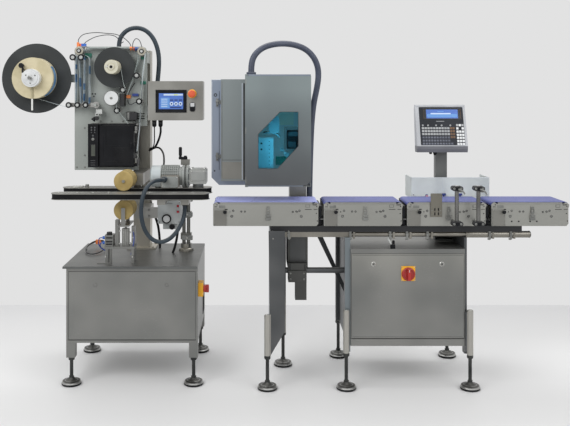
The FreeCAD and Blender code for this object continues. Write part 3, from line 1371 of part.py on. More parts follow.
def labeler_mechanism():
    """Printing mechanism behind the window: plate, roll, printer block, rollers and arms."""
    back = S.shell_front + 3
    panel = block((S.mid_left + 40, length(140)), (S.shell_front - 3, S.shell_front + 5),
                  (S.mid_low + 20, S.mid_high - 20))
    roll = rod("-Y", 20, back - 4, 1420, 70, 50)
    side_roll = rod("-Y", -190, back - 4, 1440, 62, 50)
    printer = block(lengths(50, 135), (S.mid_front - 50, back - 4), lengths(1200, 1320))
    arms = [rod("-Y", x, back - 4, z, 9, 108)
            for x, z in ((12, 1300), (-40, 1345), (60, 1180), (-60, 1180))]
    lever = block(lengths(-45, 20), (S.mid_front - 10, S.mid_front - 2), lengths(1285, 1300))
    front_plate = block(lengths(-90, -10), (S.mid_front - 30, S.mid_front - 24), lengths(1110, 1270))
    tie = rod("-Y", -40, back - 4, 1200, 8, 128)
    pad = block(lengths(-50, 50), (S.mid_front - 40, S.shell_front - 20), (S.mid_low + 12, S.mid_low + 50))
    pad_stem = rod("-Y", 0, back - 4, 1075, 10, 26)
    node(
        "labeler_mechanism",
        fuse(panel, roll, side_roll, printer, *arms, lever, front_plate, tie, pad, pad_stem))


def labeler_column():
    """Column that holds the hood and clamps on the crossbar."""
    post = block((S.post_left, S.post_left + S.post_width), (S.post_front, S.post_front + S.post_depth),
                 lengths(700, 1480))
    low_post = block(lengths(68, 173), (S.crossbar_y + 16, S.post_front + 40), lengths(575, 764))
    clamp = block(lengths(69, 164), (S.crossbar_y - 30, S.crossbar_y + 60), lengths(513, 573))
    clamp_high = block(lengths(69, 164), (S.crossbar_y - 22, S.crossbar_y + 60), lengths(570, 610))
    tail = block(lengths(105, 164), (S.crossbar_y - 24, S.crossbar_y + 30), lengths(419, 515))
    bore = rod("X", 60, S.crossbar_y, S.crossbar_z, S.crossbar_radius + 0.1, 120)
    bracket = block((S.post_left + S.post_width, length(225)), lengths(80, 140), lengths(795, 805))
    gland = rod("Z", 198, 110, 805, 21, 18)
    node("labeler_column", cut(fuse(post, low_post, clamp, clamp_high, tail, bracket, gland), bore))


# Console, guards, guide posts


def console():
    """Keypad console: a leaning housing with a recessed face, on a tilting post head."""
    low_y = S.console_front
    high_y = S.console_front + S.console_lean
    post_x = S.console_post_x
    outline = [
        (low_y, S.console_low + 18), (low_y + 6, S.console_low),
        (low_y + S.console_depth + 20, S.console_low),
        (low_y + S.console_depth + 30, S.console_low + 60), (high_y + 22, S.console_high - 24),
        (high_y + 12, S.console_high), (high_y - 4, S.console_high), (low_y, S.console_low + 34)]
    case = plate("YZ", outline, S.console_left, S.console_right)
    pivot_y = S.console_post_front + S.console_post_depth / 2
    hub = rod("X", post_x - S.console_post_width / 2 + 8 + S.part_gap, pivot_y, S.console_low + 60, 16,
              S.console_post_width - 16 - 2 * S.part_gap)
    neck = block((post_x - 20, post_x + 20), (low_y + S.console_depth + 10, pivot_y),
                 (S.console_low + 46, S.console_low + 74))
    bore = rod("X", post_x - 60, pivot_y, S.console_low + 60, 6 + S.running_gap, 120)
    node("console", cut(fuse(case, hub, neck), bore))
    width = S.console_post_width
    post_y = (S.console_post_front, S.console_post_front + S.console_post_depth)
    post = block((post_x - width / 2, post_x + width / 2), post_y, (S.beam_low, S.console_low + 20))
    cheeks = []
    for side in (post_x - width / 2, post_x + width / 2 - 8):
        cheeks.append(
            block((side, side + 8), (post_y[0] + 4, post_y[1]), (S.console_low + 15, S.console_low + 80)))
    axle = rod("X", post_x - width / 2, pivot_y, S.console_low + 60, 6, width)
    base = block(lengths(863, 1029), lengths(-30, 130), (S.line_high, S.beam_low))
    room = block(lengths(868, 1004), lengths(-31, 125), (S.line_high + 4, S.beam_low - 4))
    node("console_post", fuse(post, *cheeks, axle, cut(base, room)))


def guards():
    """Draught guards behind the weighing belt, folded back at both ends."""
    face = S.bed_back
    panel = block(
        (S.guard_left, S.guard_right), (face, face + S.guard_thick), (S.bed_high - 6, S.guard_high))
    left = block((S.guard_left, S.guard_left + S.guard_thick), (face, face + S.guard_return),
                 (S.bed_high - 6, S.guard_high))
    right = block((S.guard_right - S.guard_thick, S.guard_right), (face, face + S.guard_return),
                  (S.bed_high - 6, S.guard_high))
    node("wind_guards", fuse(panel, left, right))


def weigh_fittings():
    """Guide posts with their clamps in front of the weighing bed, and the sensor bracket."""
    pieces = []
    for x in (902, 1010):
        post = rod("Z", x, S.guide_y, S.guide_low + 2, S.guide_radius, S.guide_high - S.guide_low - 4)
        clamps = []
        for z in (S.guide_low, S.guide_high - 24):
            oval = fuse(block(lengths(x - 16, x + 16), (S.guide_y - 20, S.guide_y + 16), (z, z + 24)),
                        rod("Y", x - 16, S.guide_y - 20, z + 12, 12, 36),
                        rod("Y", x + 16, S.guide_y - 20, z + 12, 12, 36))
            clamps.append(oval)
        stay = rod("Y", x, S.guide_y + 10, S.guide_low + 12, 8, S.bed_front - S.guide_y - 10)
        lever = block(lengths(x + 4, x + 30), (S.guide_y - 20.5, S.guide_y - 14),
                      (S.guide_high - 30, S.guide_high - 22))
        pieces.append(fuse(post, *clamps, stay, lever))
    bracket = block(lengths(788, 846), (S.bed_front - 8, S.bed_front - 4), (S.bed_low + 48, length(989)))
    slots = [block(lengths(x, x + 6), (S.bed_front - 9, S.bed_front - 3), lengths(z, z + 16))
             for x in (806, 824) for z in (900, 878)]
    spacer = block(lengths(796, 838), (S.bed_front - 5, S.bed_front), (S.bed_low + 52, S.bed_low + 62))
    pieces.append(cut(fuse(bracket, spacer), *slots))
    for x in (900, 988):
        cell_low = S.belt_top + 4
        eye = block(lengths(x, x + 20), (S.bed_back - 8, S.bed_back), (cell_low, cell_low + 12))
        leg = block(lengths(x + 6, x + 14), (S.bed_back - 2.4, S.bed_back), (S.bed_high, cell_low + 2))
        pieces.append(fuse(eye, leg))
    node("weigh_lane_fittings", *pieces)


MOTOR_HOSE = [
    (-578, -180, 1050), (-578, -222, 1050), (-592, -266, 1056), (-618, -306, 1056), (-645, -341, 1034),
    (-664, -365, 988), (-672, -370, 932), (-670, -366, 874), (-656, -354, 816), (-626, -338, 769),
    (-584, -317, 747), (-542, -293, 757), (-510, -270, 785), (-488, -246, 818), (-474, -225, 852),
    (-467, -212, 887), (-467, -212, 920)]
PLATE_HOSE = [
    (-868, 150, 1750), (-868, 150, 1790), (-848, 150, 1830), (-813, 150, 1858), (-769, 150, 1867),
    (-725, 150, 1856), (-690, 150, 1828), (-664, 151, 1786), (-648, 153, 1734), (-643, 155, 1680),
    (-646, 158, 1626), (-651, 161, 1578), (-655, 165, 1539), (-655, 165, 1505)]
LABELER_HOSE = [
    (-125, -40, 1613), (-125, -40, 1662), (-105, -33, 1709), (-65, -22, 1744), (-11, -6, 1763),
    (52, 16, 1770), (118, 40, 1763), (177, 60, 1740), (220, 76, 1698), (244, 90, 1645), (248, 99, 1585),
    (238, 105, 1519), (221, 109, 1440), (210, 111, 1330), (204, 110, 1190), (200, 110, 1050),
    (198, 110, 925), (198, 110, 823)]


def build():
    """Makes every sub-part."""
    wrap_station_cabinet()
    wrap_station_door()
    wrap_table_top()
    levelling_feet()
    wrap_column()
    label_plate()
    idler_rollers()
    dancer_arm()
    print_engine()
    reels()
    operator_box()
    side_belts()
    gearmotor()
    crank()
    foam_roller("upper_foam_roller", S.upper_foam_z)
    foam_roller("lower_foam_roller", S.lower_foam_z)
    lift_unit()
    drive_box()
    for name, left, reach in CONVEYORS:
        conveyor_bed(name, left, reach)
    conveyor_belts()
    conveyor_rollers()
    line_rails()
    line_stand()
    line_cabinet()
    control_gear()
    load_cell()
    labeler_hood()
    labeler_mechanism()
    labeler_column()
    console()
    guards()
    weigh_fittings()
    cord("motor_hose", MOTOR_HOSE, 21)
    cord("plate_hose", PLATE_HOSE, 25)
    cord("labeler_hose", LABELER_HOSE, 33)


def check():
    """Stops the build if any object failed or any sub-part's shape is not sound."""
    faults = []
    for item in DOC.Objects:
        if "Invalid" in item.State or "Error" in item.State:
            faults.append(f"{item.Name} ({item.Label}): {item.State}")
    for name, item in NODES:
        if item.Shape.isNull() or not item.Shape.isValid() or not item.Shape.Solids:
            faults.append(f"{name}: shape is null, empty or not valid")
    if faults:
        raise RuntimeError("\n".join(faults))


def write_parts():
    """Writes each sub-part to its own file."""
    os.makedirs("parts", exist_ok=True)
    for name, item in NODES:
        item.Shape.exportStep(f"parts/{name}.step")


build()
DOC.recompute()
check()
write_parts()
print(f"{len(NODES)} sub-parts")
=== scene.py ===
# %% [markdown]
# # A weigh price labeler and its top and bottom labelling station
# This lesson dresses a finished mechanical model. Every rigid part already comes with its exact place, in
# metres, with +X along the product flow, +Y to the back and +Z up. What is left is what the eye reads:
# finish, wear, printed faces, cables, label web and small fittings.
# Two tools are used all the way through. Shapes are surfaces worked out as whole numpy arrays, and finishes
# are node materials that share a few small shader groups.

# %% Load the frame
import math

import bpy
import numpy as np
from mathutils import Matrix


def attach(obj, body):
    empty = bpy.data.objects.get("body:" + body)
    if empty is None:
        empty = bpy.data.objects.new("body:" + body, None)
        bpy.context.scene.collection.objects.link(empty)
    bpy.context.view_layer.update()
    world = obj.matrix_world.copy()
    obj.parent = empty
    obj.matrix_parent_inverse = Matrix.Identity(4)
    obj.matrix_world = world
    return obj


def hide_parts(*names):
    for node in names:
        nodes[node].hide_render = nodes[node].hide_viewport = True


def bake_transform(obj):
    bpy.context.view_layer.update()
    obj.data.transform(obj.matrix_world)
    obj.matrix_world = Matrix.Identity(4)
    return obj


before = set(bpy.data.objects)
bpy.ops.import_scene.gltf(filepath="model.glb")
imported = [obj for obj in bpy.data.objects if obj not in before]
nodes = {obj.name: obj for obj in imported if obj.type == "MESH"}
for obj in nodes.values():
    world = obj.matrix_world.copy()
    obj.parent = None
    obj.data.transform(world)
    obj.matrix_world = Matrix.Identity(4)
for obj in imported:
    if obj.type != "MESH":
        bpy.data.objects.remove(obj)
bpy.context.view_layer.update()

# %% [markdown]
# ## Camera
# The picture was taken level, from straight in front and about 4.3 m away, a little above the middle of the
# machines. A level camera keeps uprights upright. The horizon is moved in the frame with the lens shift, as
# a view camera does it, instead of tilting the camera.

# %% Camera
PICTURE_WIDTH = 570
LENS_PIXELS = 800
SENSOR_WIDTH = 36
LENS_SHIFT = (0.0561, -0.2123)
CAMERA_PLACE = (-0.1155, -4.340, 1.505)
camera_data = bpy.data.cameras.new("camera")
camera_data.sensor_width = SENSOR_WIDTH
camera_data.lens = LENS_PIXELS / PICTURE_WIDTH * SENSOR_WIDTH
camera_data.shift_x, camera_data.shift_y = LENS_SHIFT
camera = bpy.data.objects.new("camera", camera_data)
bpy.context.scene.collection.objects.link(camera)
camera.location = CAMERA_PLACE
camera.rotation_euler = (math.radians(90), 0, 0)
bpy.context.scene.camera = camera
bpy.context.scene.view_settings.view_transform = "Standard"
print("lens:", round(camera_data.lens, 2), "mm")

# %% [markdown]
# ## Colours
# Colours are written as the 0 to 255 numbers that a paint program shows. Shaders work with linear light, so
# one helper turns the first into the second: small numbers are divided by 12.92, and larger ones go through
# the power 2.4 of the standard curve.


# %% A colour helper
def paint(red, green, blue):
    """Linear colour of three 0 to 255 numbers: ((v / 255 + 0.055) / 1.055) to the power 2.4."""
    shown = np.array([red, green, blue]) / 255
    linear = np.where(shown <= 0.04045, shown / 12.92, ((shown + 0.055) / 1.055) ** 2.4)
    return (*[float(value) for value in linear], 1.0)


print("mid grey:", [round(value, 3) for value in paint(128, 128, 128)])

# %% [markdown]
# ## Stage and light
# A studio sweep: a pale floor that ends some way behind the machines, and a plain pale wall that only the
# camera, mirrors and glass see. Three large soft lamps and a quiet world light the scene, so that shadows
# stay soft and short, as under a light tent.


# %% Floor, wall and lamps
FLOOR_NEAR, FLOOR_FAR, FLOOR_HALF_WIDTH, FLOOR_LEVEL = -7, 1.31, 9, -0.0005
TONES_FROM = -2.2
SKY_STRENGTH = 0.62


def stage_material():
    """Pale floor, painted brighter in a band under the machines to lift their shadow, darker at both edges.
    """
    material = bpy.data.materials.new("studio_floor")
    material.use_nodes = True
    tree = material.node_tree
    shader = tree.nodes["Principled BSDF"]
    place = tree.nodes.new("ShaderNodeTexCoord")
    split = tree.nodes.new("ShaderNodeSeparateXYZ")
    ramp = tree.nodes.new("ShaderNodeMapRange")
    ramp.inputs["From Min"].default_value = TONES_FROM
    ramp.inputs["From Max"].default_value = FLOOR_FAR
    tones = tree.nodes.new("ShaderNodeValToRGB")
    stops = tones.color_ramp.elements
    # Painted light and shade: the 232 band round the machines lifts their cast shadow, and lower tones darken
    # the floor's edges.
    stops[0].color, stops[1].color = paint(206, 206, 206), paint(218, 218, 219)
    for place_along, tone in ((0.45, 218), (0.51, 223), (0.57, 232), (0.71, 232), (0.8, 226)):
        stops.new(place_along).color = paint(tone, tone, tone)
    tree.links.new(place.outputs["Object"], split.inputs[0])
    tree.links.new(split.outputs["Y"], ramp.inputs["Value"])
    tree.links.new(ramp.outputs["Result"], tones.inputs["Fac"])
    tree.links.new(tones.outputs["Color"], shader.inputs["Base Color"])
    shader.inputs["Roughness"].default_value = 0.55
    return material


def flat_mesh(name, corners):
    """One face through the given corners."""
    mesh = bpy.data.meshes.new(name)
    mesh.from_pydata([tuple(corner) for corner in corners], [], [tuple(range(len(corners)))])
    item = bpy.data.objects.new(name, mesh)
    bpy.context.scene.collection.objects.link(item)
    return item


floor = flat_mesh("studio_floor", [
    (-FLOOR_HALF_WIDTH, FLOOR_NEAR, FLOOR_LEVEL), (FLOOR_HALF_WIDTH, FLOOR_NEAR, FLOOR_LEVEL),
    (FLOOR_HALF_WIDTH, FLOOR_FAR, FLOOR_LEVEL), (-FLOOR_HALF_WIDTH, FLOOR_FAR, FLOOR_LEVEL)])
floor.data.materials.append(stage_material())


def soft_lamp(name, place, aim, size, power):
    """A square area lamp at place, turned towards aim."""
    data = bpy.data.lights.new(name, "AREA")
    data.shape = "RECTANGLE"
    data.size, data.size_y = size
    data.energy = power
    lamp = bpy.data.objects.new(name, data)
    bpy.context.scene.collection.objects.link(lamp)
    lamp.location = place
    direction = np.array(aim, float) - np.array(place, float)
    across = math.hypot(direction[0], direction[1])
    lamp.rotation_euler = (math.atan2(across, -direction[2]), 0, math.atan2(-direction[0], direction[1]))
    return lamp


soft_lamp("key", (-2.6, -3.2, 3.4), (0, 0, 0.9), (2.6, 2.0), 95)
soft_lamp("fill", (3.0, -3.0, 2.6), (0, 0, 0.9), (2.6, 2.0), 55)
soft_lamp("top", (0, 0.4, 3.8), (0, 0, 0.8), (4.0, 2.4), 60)

world = bpy.data.worlds.new("studio")
bpy.context.scene.world = world
world.use_nodes = True
links = world.node_tree.links
sky = world.node_tree.nodes["Background"]
sky.inputs["Color"].default_value = (1, 1, 1, 1)
sky.inputs["Strength"].default_value = SKY_STRENGTH
wall = world.node_tree.nodes.new("ShaderNodeBackground")
wall.inputs["Color"].default_value = paint(226, 226, 226)
wall.inputs["Strength"].default_value = 1
path = world.node_tree.nodes.new("ShaderNodeLightPath")
seen, seen_too = (world.node_tree.nodes.new("ShaderNodeMath") for _ in range(2))
seen.operation = seen_too.operation = "MAXIMUM"
choose = world.node_tree.nodes.new("ShaderNodeMixShader")
links.new(path.outputs["Is Camera Ray"], seen.inputs[0])
links.new(path.outputs["Is Glossy Ray"], seen.inputs[1])
links.new(seen.outputs[0], seen_too.inputs[0])
links.new(path.outputs["Is Transmission Ray"], seen_too.inputs[1])
links.new(seen_too.outputs[0], choose.inputs["Fac"])
links.new(sky.outputs[0], choose.inputs[1])
links.new(wall.outputs[0], choose.inputs[2])
links.new(choose.outputs[0], world.node_tree.nodes["World Output"].inputs["Surface"])
print("lamps:", len(bpy.data.lights))

# %% [markdown]
# ## Shader groups
# Real machine parts are never one flat colour. Four effects come back on nearly all of them: a fine grain
# left by grinding or moulding, slow clouds of slightly different tone, small scuffs from handling, and a
# thin film of dust on faces that look up. Each is built once as a node group with named inputs, and every
# material places it with its own numbers.


# %% Group helper
def new_group(name, inputs, outputs):
    """A shader group with named sockets, each given as (name, kind, first value)."""
    group = bpy.data.node_groups.new(name, "ShaderNodeTree")
    for label, kind, value in inputs:
        socket = group.interface.new_socket(label, in_out="INPUT", socket_type=kind)
        if value is not None:
            socket.default_value = value
    for label, kind in outputs:
        group.interface.new_socket(label, in_out="OUTPUT", socket_type=kind)
    start = group.nodes.new("NodeGroupInput")
    end = group.nodes.new("NodeGroupOutput")
    return group, start, end


def number_node(tree, operation, *values):
    """A Math node: each value is a number or a socket."""
    node = tree.nodes.new("ShaderNodeMath")
    node.operation = operation
    for socket, value in zip(node.inputs, values):
        if isinstance(value, (int, float)):
            socket.default_value = value
        else:
            tree.links.new(value, socket)
    return node.outputs[0]


# %% [markdown]
# **Grain** stretches a noise pattern along one direction. On brushed steel the stretch is long, on moulded
# plastic the noise is left round. It gives a value about 0.5 that feeds roughness and a faint bump.


# %% Grain
def build_grain():
    """Noise of (position times stretch), spread around 0.5."""
    group, start, end = new_group(
        "grain",
        [("Position", "NodeSocketVector", None), ("Stretch", "NodeSocketVector", (1, 1, 1)),
         ("Scale", "NodeSocketFloat", 400.0), ("Spread", "NodeSocketFloat", 1.0)],
        [("Grain", "NodeSocketFloat")])
    stretch = group.nodes.new("ShaderNodeVectorMath")
    stretch.operation = "MULTIPLY"
    noise = group.nodes.new("ShaderNodeTexNoise")
    noise.inputs["Detail"].default_value = 3
    group.links.new(start.outputs["Position"], stretch.inputs[0])
    group.links.new(start.outputs["Stretch"], stretch.inputs[1])
    group.links.new(stretch.outputs[0], noise.inputs["Vector"])
    group.links.new(start.outputs["Scale"], noise.inputs["Scale"])
    centred = number_node(group, "SUBTRACT", noise.outputs["Fac"], 0.5)
    spread = number_node(group, "MULTIPLY_ADD", centred, start.outputs["Spread"], 0.5)
    group.links.new(spread, end.inputs["Grain"])
    return group


GRAIN = build_grain()

# %% [markdown]
# **Clouds** are a slow, soft noise. They mix two close tones of the same finish, which breaks up large flat
# faces such as doors without looking dirty.


# %% Clouds
def build_clouds():
    """A smooth noise mapped from its middle range to 0 and 1, mixing two tones."""
    group, start, end = new_group("clouds", [("Position", "NodeSocketVector", None),
                                             ("Scale", "NodeSocketFloat", 4.0),
                                             ("Tone A", "NodeSocketColor", (0.5, 0.5, 0.5, 1)),
                                             ("Tone B", "NodeSocketColor", (0.6, 0.6, 0.6, 1))],
                                  [("Color", "NodeSocketColor"), ("Mask", "NodeSocketFloat")])
    noise = group.nodes.new("ShaderNodeTexNoise")
    noise.inputs["Detail"].default_value = 2
    noise.inputs["Roughness"].default_value = 0.45
    spread = group.nodes.new("ShaderNodeMapRange")
    spread.interpolation_type = "SMOOTHSTEP"
    spread.inputs["From Min"].default_value = 0.32
    spread.inputs["From Max"].default_value = 0.68
    mix = group.nodes.new("ShaderNodeMix")
    mix.data_type = "RGBA"
    group.links.new(start.outputs["Position"], noise.inputs["Vector"])
    group.links.new(start.outputs["Scale"], noise.inputs["Scale"])
    group.links.new(noise.outputs["Fac"], spread.inputs["Value"])
    group.links.new(spread.outputs["Result"], mix.inputs["Factor"])
    group.links.new(start.outputs["Tone A"], mix.inputs["A"])
    group.links.new(start.outputs["Tone B"], mix.inputs["B"])
    group.links.new(mix.outputs["Result"], end.inputs["Color"])
    group.links.new(spread.outputs["Result"], end.inputs["Mask"])
    return group


CLOUDS = build_clouds()

# %% [markdown]
# **Scuffs** are short bright or dull marks. Two noises are multiplied: a fine stretched one for the marks,
# and a slow one that decides where they gather.


# %% Scuffs
def build_scuffs():
    """Product of a fine stretched noise above a limit and a slow noise above a limit."""
    group, start, end = new_group(
        "scuffs",
        [("Position", "NodeSocketVector", None), ("Scale", "NodeSocketFloat", 60.0),
         ("Amount", "NodeSocketFloat", 0.5)],
        [("Mask", "NodeSocketFloat")])
    stretch = group.nodes.new("ShaderNodeVectorMath")
    stretch.operation = "MULTIPLY"
    stretch.inputs[1].default_value = (1.0, 3.0, 5.0)
    fine = group.nodes.new("ShaderNodeTexNoise")
    fine.inputs["Detail"].default_value = 5
    slow = group.nodes.new("ShaderNodeTexNoise")
    slow.inputs["Scale"].default_value = 7
    group.links.new(start.outputs["Position"], stretch.inputs[0])
    group.links.new(stretch.outputs[0], fine.inputs["Vector"])
    group.links.new(start.outputs["Scale"], fine.inputs["Scale"])
    group.links.new(start.outputs["Position"], slow.inputs["Vector"])
    marks = group.nodes.new("ShaderNodeMapRange")
    marks.inputs["From Min"].default_value = 0.60
    marks.inputs["From Max"].default_value = 0.72
    patches = group.nodes.new("ShaderNodeMapRange")
    patches.inputs["From Min"].default_value = 0.48
    patches.inputs["From Max"].default_value = 0.66
    group.links.new(fine.outputs["Fac"], marks.inputs["Value"])
    group.links.new(slow.outputs["Fac"], patches.inputs["Value"])
    both = number_node(group, "MULTIPLY", marks.outputs["Result"], patches.outputs["Result"])
    scaled = number_node(group, "MULTIPLY", both, start.outputs["Amount"])
    group.links.new(scaled, end.inputs["Mask"])
    return group


SCUFFS = build_scuffs()

# %% [markdown]
# **Dust** settles where a face looks up. The upward part of the surface normal, times a cloudy noise, gives
# a mask that mixes in a dry grey and raises the roughness.


# %% Dust
def build_dust():
    """Mask = amount * smooth(upward normal) * noise, and the colour mixed with dust grey by it."""
    group, start, end = new_group(
        "dust",
        [("Position", "NodeSocketVector", None), ("Normal", "NodeSocketVector", None),
         ("Color", "NodeSocketColor", (0.5, 0.5, 0.5, 1)), ("Amount", "NodeSocketFloat", 0.3)],
        [("Color", "NodeSocketColor"), ("Mask", "NodeSocketFloat")])
    split = group.nodes.new("ShaderNodeSeparateXYZ")
    upward = group.nodes.new("ShaderNodeMapRange")
    upward.interpolation_type = "SMOOTHSTEP"
    upward.inputs["From Min"].default_value = 0.45
    upward.inputs["From Max"].default_value = 0.95
    noise = group.nodes.new("ShaderNodeTexNoise")
    noise.inputs["Scale"].default_value = 18
    noise.inputs["Detail"].default_value = 4
    mix = group.nodes.new("ShaderNodeMix")
    mix.data_type = "RGBA"
    mix.inputs["B"].default_value = paint(196, 192, 184)
    group.links.new(start.outputs["Normal"], split.inputs[0])
    group.links.new(split.outputs["Z"], upward.inputs["Value"])
    group.links.new(start.outputs["Position"], noise.inputs["Vector"])
    cloudy = number_node(group, "MULTIPLY", upward.outputs["Result"], noise.outputs["Fac"])
    mask = number_node(group, "MULTIPLY", cloudy, start.outputs["Amount"])
    group.links.new(mask, mix.inputs["Factor"])
    group.links.new(start.outputs["Color"], mix.inputs["A"])
    group.links.new(mix.outputs["Result"], end.inputs["Color"])
    group.links.new(mask, end.inputs["Mask"])
    return group


DUST = build_dust()
print("shader groups:", [group.name for group in bpy.data.node_groups])

# %% [markdown]
# ## The finish recipe
# One function builds every opaque finish from the groups: two tones through the clouds, a third tone where
# the surface is scuffed, dust on top, and roughness and bump from the grain. A metal and a plastic differ
# only in their numbers: the stretch of the grain, the metallic value, and how rough they are.


# %% Finish recipe
def place_group(tree, group, **values):
    """Puts a group into a material, with values as numbers, colours or sockets."""
    node = tree.nodes.new("ShaderNodeGroup")
    node.node_tree = group
    for label, value in values.items():
        socket = node.inputs[label.replace("_", " ")]
        if isinstance(value, bpy.types.NodeSocket):
            tree.links.new(value, socket)
        else:
            socket.default_value = value
    return node


def finish(name, tone_a, tone_b, rough, metallic=0.0, stretch=(1, 1, 1), grain=900, grain_rough=0.12,
           bump=0.0002, cloud=4.0, scuff=0.25, scuff_tone=None, dust=0.25, coat=0.0, specular=0.5):
    """An opaque finish: Base Color = dust(scuffs(clouds)), Roughness = rough + grain, Normal = grain bump."""
    tone_a, tone_b = paint(*tone_a), paint(*tone_b)
    material = bpy.data.materials.new(name)
    material.use_nodes = True
    tree = material.node_tree
    shader = tree.nodes["Principled BSDF"]
    place = tree.nodes.new("ShaderNodeTexCoord").outputs["Object"]
    surface = tree.nodes.new("ShaderNodeNewGeometry")
    clouds = place_group(tree, CLOUDS, Position=place, Scale=cloud, Tone_A=tone_a, Tone_B=tone_b)
    scuffs = place_group(tree, SCUFFS, Position=place, Amount=scuff)
    worn = tree.nodes.new("ShaderNodeMix")
    worn.data_type = "RGBA"
    worn.inputs["B"].default_value = (
        paint(*scuff_tone) if scuff_tone else tuple(min(1, value * 1.5) for value in tone_b))
    tree.links.new(scuffs.outputs["Mask"], worn.inputs["Factor"])
    tree.links.new(clouds.outputs["Color"], worn.inputs["A"])
    dusty = place_group(tree, DUST, Position=place, Normal=surface.outputs["Normal"],
                        Color=worn.outputs["Result"], Amount=dust)
    grained = place_group(tree, GRAIN, Position=place, Stretch=stretch, Scale=grain, Spread=1.6)
    rougher = number_node(tree, "MULTIPLY_ADD", grained.outputs["Grain"], grain_rough,
                          rough - grain_rough / 2)
    dusted = number_node(tree, "MULTIPLY_ADD", dusty.outputs["Mask"], 0.3, rougher)
    relief = tree.nodes.new("ShaderNodeBump")
    relief.inputs["Distance"].default_value = bump
    relief.inputs["Strength"].default_value = 0.6
    tree.links.new(grained.outputs["Grain"], relief.inputs["Height"])
    tree.links.new(relief.outputs["Normal"], shader.inputs["Normal"])
    tree.links.new(dusty.outputs["Color"], shader.inputs["Base Color"])
    tree.links.new(dusted, shader.inputs["Roughness"])
    shader.inputs["Metallic"].default_value = metallic
    shader.inputs["Coat Weight"].default_value = coat
    shader.inputs["Specular IOR Level"].default_value = specular
    return material

# %% [markdown]
# ## Stainless steel
# Nearly all the frames and housings are brushed stainless sheet. Ground sheet has fine parallel lines, so
# its reflections smear across them. The door panels are ground upright. The rails, bars and conveyor sides
# are ground lengthwise. The mirror part stays soft because the roughness is about 0.35.

# %% Steel finishes
GRIND_UPRIGHT = (1.0, 1.0, 0.02)
GRIND_ALONG = (0.02, 1.0, 1.0)
steel_sheet = finish("steel_sheet", (120, 121, 119), (138, 138, 135), 0.38, metallic=0.85,
                     stretch=GRIND_UPRIGHT, grain_rough=0.18, bump=0.0001, cloud=3.0, scuff=0.3)
steel_long = finish("steel_long", (134, 133, 128), (152, 151, 146), 0.36, metallic=0.85,
                    stretch=GRIND_ALONG, grain_rough=0.18, bump=0.0001, cloud=5.0, scuff=0.35)
steel_dark = finish("steel_dark", (74, 76, 77), (92, 93, 93), 0.42, metallic=0.85,
                    stretch=GRIND_UPRIGHT, grain=700, grain_rough=0.2, cloud=3.5, scuff=0.3)
steel_turned = finish("steel_turned", (150, 150, 147), (176, 175, 172), 0.28, metallic=0.95,
                      grain=1200, grain_rough=0.12, cloud=12.0, scuff=0.2, dust=0.1)
door_steel = finish("door_steel", (108, 111, 113), (124, 127, 128), 0.36, metallic=0.85,
                    stretch=GRIND_UPRIGHT, grain=1000, grain_rough=0.14, bump=0.0001, cloud=2.2, scuff=0.15)
shell_steel = finish("shell_steel", (130, 138, 153), (146, 154, 168), 0.34, metallic=0.8,
                     stretch=GRIND_UPRIGHT, grain_rough=0.15, cloud=2.5, scuff=0.2)
steel_top = finish("steel_top", (92, 94, 94), (108, 110, 109), 0.4, metallic=0.85,
                   stretch=GRIND_ALONG, grain_rough=0.18, cloud=3.5, scuff=0.35)
foot_steel = finish("foot_steel", (48, 50, 50), (68, 69, 68), 0.35, metallic=0.8, cloud=14.0,
                    grain=600, scuff=0.35)
print("steel finishes:", len(bpy.data.materials) - 1)

# %% [markdown]
# ## Paint, plastic, rubber and foam
# The label plate and the gearmotor are painted a pale grey-green. The reels are dark grey moulded discs. The
# belts are blue-violet, with a faint woven grain. The foam rollers are tan and slightly porous. Each gets
# its own pair of close tones, its own grain and roughness.

# %% Other finishes
plate_paint = finish("plate_paint", (147, 152, 148), (156, 161, 157), 0.45, bump=0.0001,
                     cloud=2.5, scuff=0.15)
motor_paint = finish("motor_paint", (124, 128, 126), (142, 145, 142), 0.42, grain=800, cloud=9,
                     scuff=0.3)
drive_paint = finish("drive_paint", (160, 165, 166), (176, 180, 180), 0.42, grain=800, cloud=8,
                     scuff=0.2)
black_plastic = finish("black_plastic", (16, 17, 20), (26, 27, 30), 0.42, grain=1500,
                       bump=0.0002, cloud=9, scuff=0.3, scuff_tone=(56, 56, 58), specular=0.14)
dark_gear = finish("dark_gear", (60, 62, 64), (80, 82, 84), 0.45, cloud=12)
belt_black = finish("belt_black", (14, 14, 16), (24, 24, 26), 0.7, stretch=(0.3, 1, 1), grain=700,
                    bump=0.0004, cloud=9, scuff=0.25, scuff_tone=(56, 56, 58), specular=0.14, dust=0.1)
belt_blue = finish("belt_blue", (82, 89, 146), (92, 99, 157), 0.55, bump=0.0003,
                   cloud=3, scuff=0.12, scuff_tone=(140, 146, 200), dust=0.1)
disc_grey = finish("disc_grey", (40, 43, 44), (49, 52, 53), 0.6, grain=500, bump=0.0003, cloud=7,
                   scuff=0.12, scuff_tone=(80, 83, 86), dust=0.1, specular=0.3)
roll_paper = finish("roll_paper", (180, 170, 138), (196, 186, 156), 0.75, grain=700,
                    bump=0.0002, cloud=16, scuff=0.15, scuff_tone=(196, 184, 146))
nylon_white = finish("nylon_white", (190, 192, 193), (204, 206, 206), 0.42, grain=800, cloud=12,
                     scuff=0.12, scuff_tone=(190, 190, 188))
foam_tan = finish("foam_tan", (154, 133, 82), (170, 149, 96), 0.85, grain=420, bump=0.0012,
                  cloud=22, scuff=0.25, scuff_tone=(178, 154, 92), dust=0.0)
stop_red = finish("stop_red", (206, 82, 44), (218, 94, 54), 0.32, grain=700, cloud=20, coat=0.3,
                  scuff=0.1)
switch_red = finish("switch_red", (150, 24, 16), (166, 32, 22), 0.32, grain=700, cloud=20,
                    coat=0.3, scuff=0.1)
switch_yellow = finish("switch_yellow", (236, 172, 24), (244, 184, 36), 0.38, grain=700, cloud=20,
                       scuff=0.1)
console_grey = finish("console_grey", (166, 168, 172), (180, 182, 186), 0.5, grain=1100,
                      bump=0.0004, cloud=5, scuff=0.12)
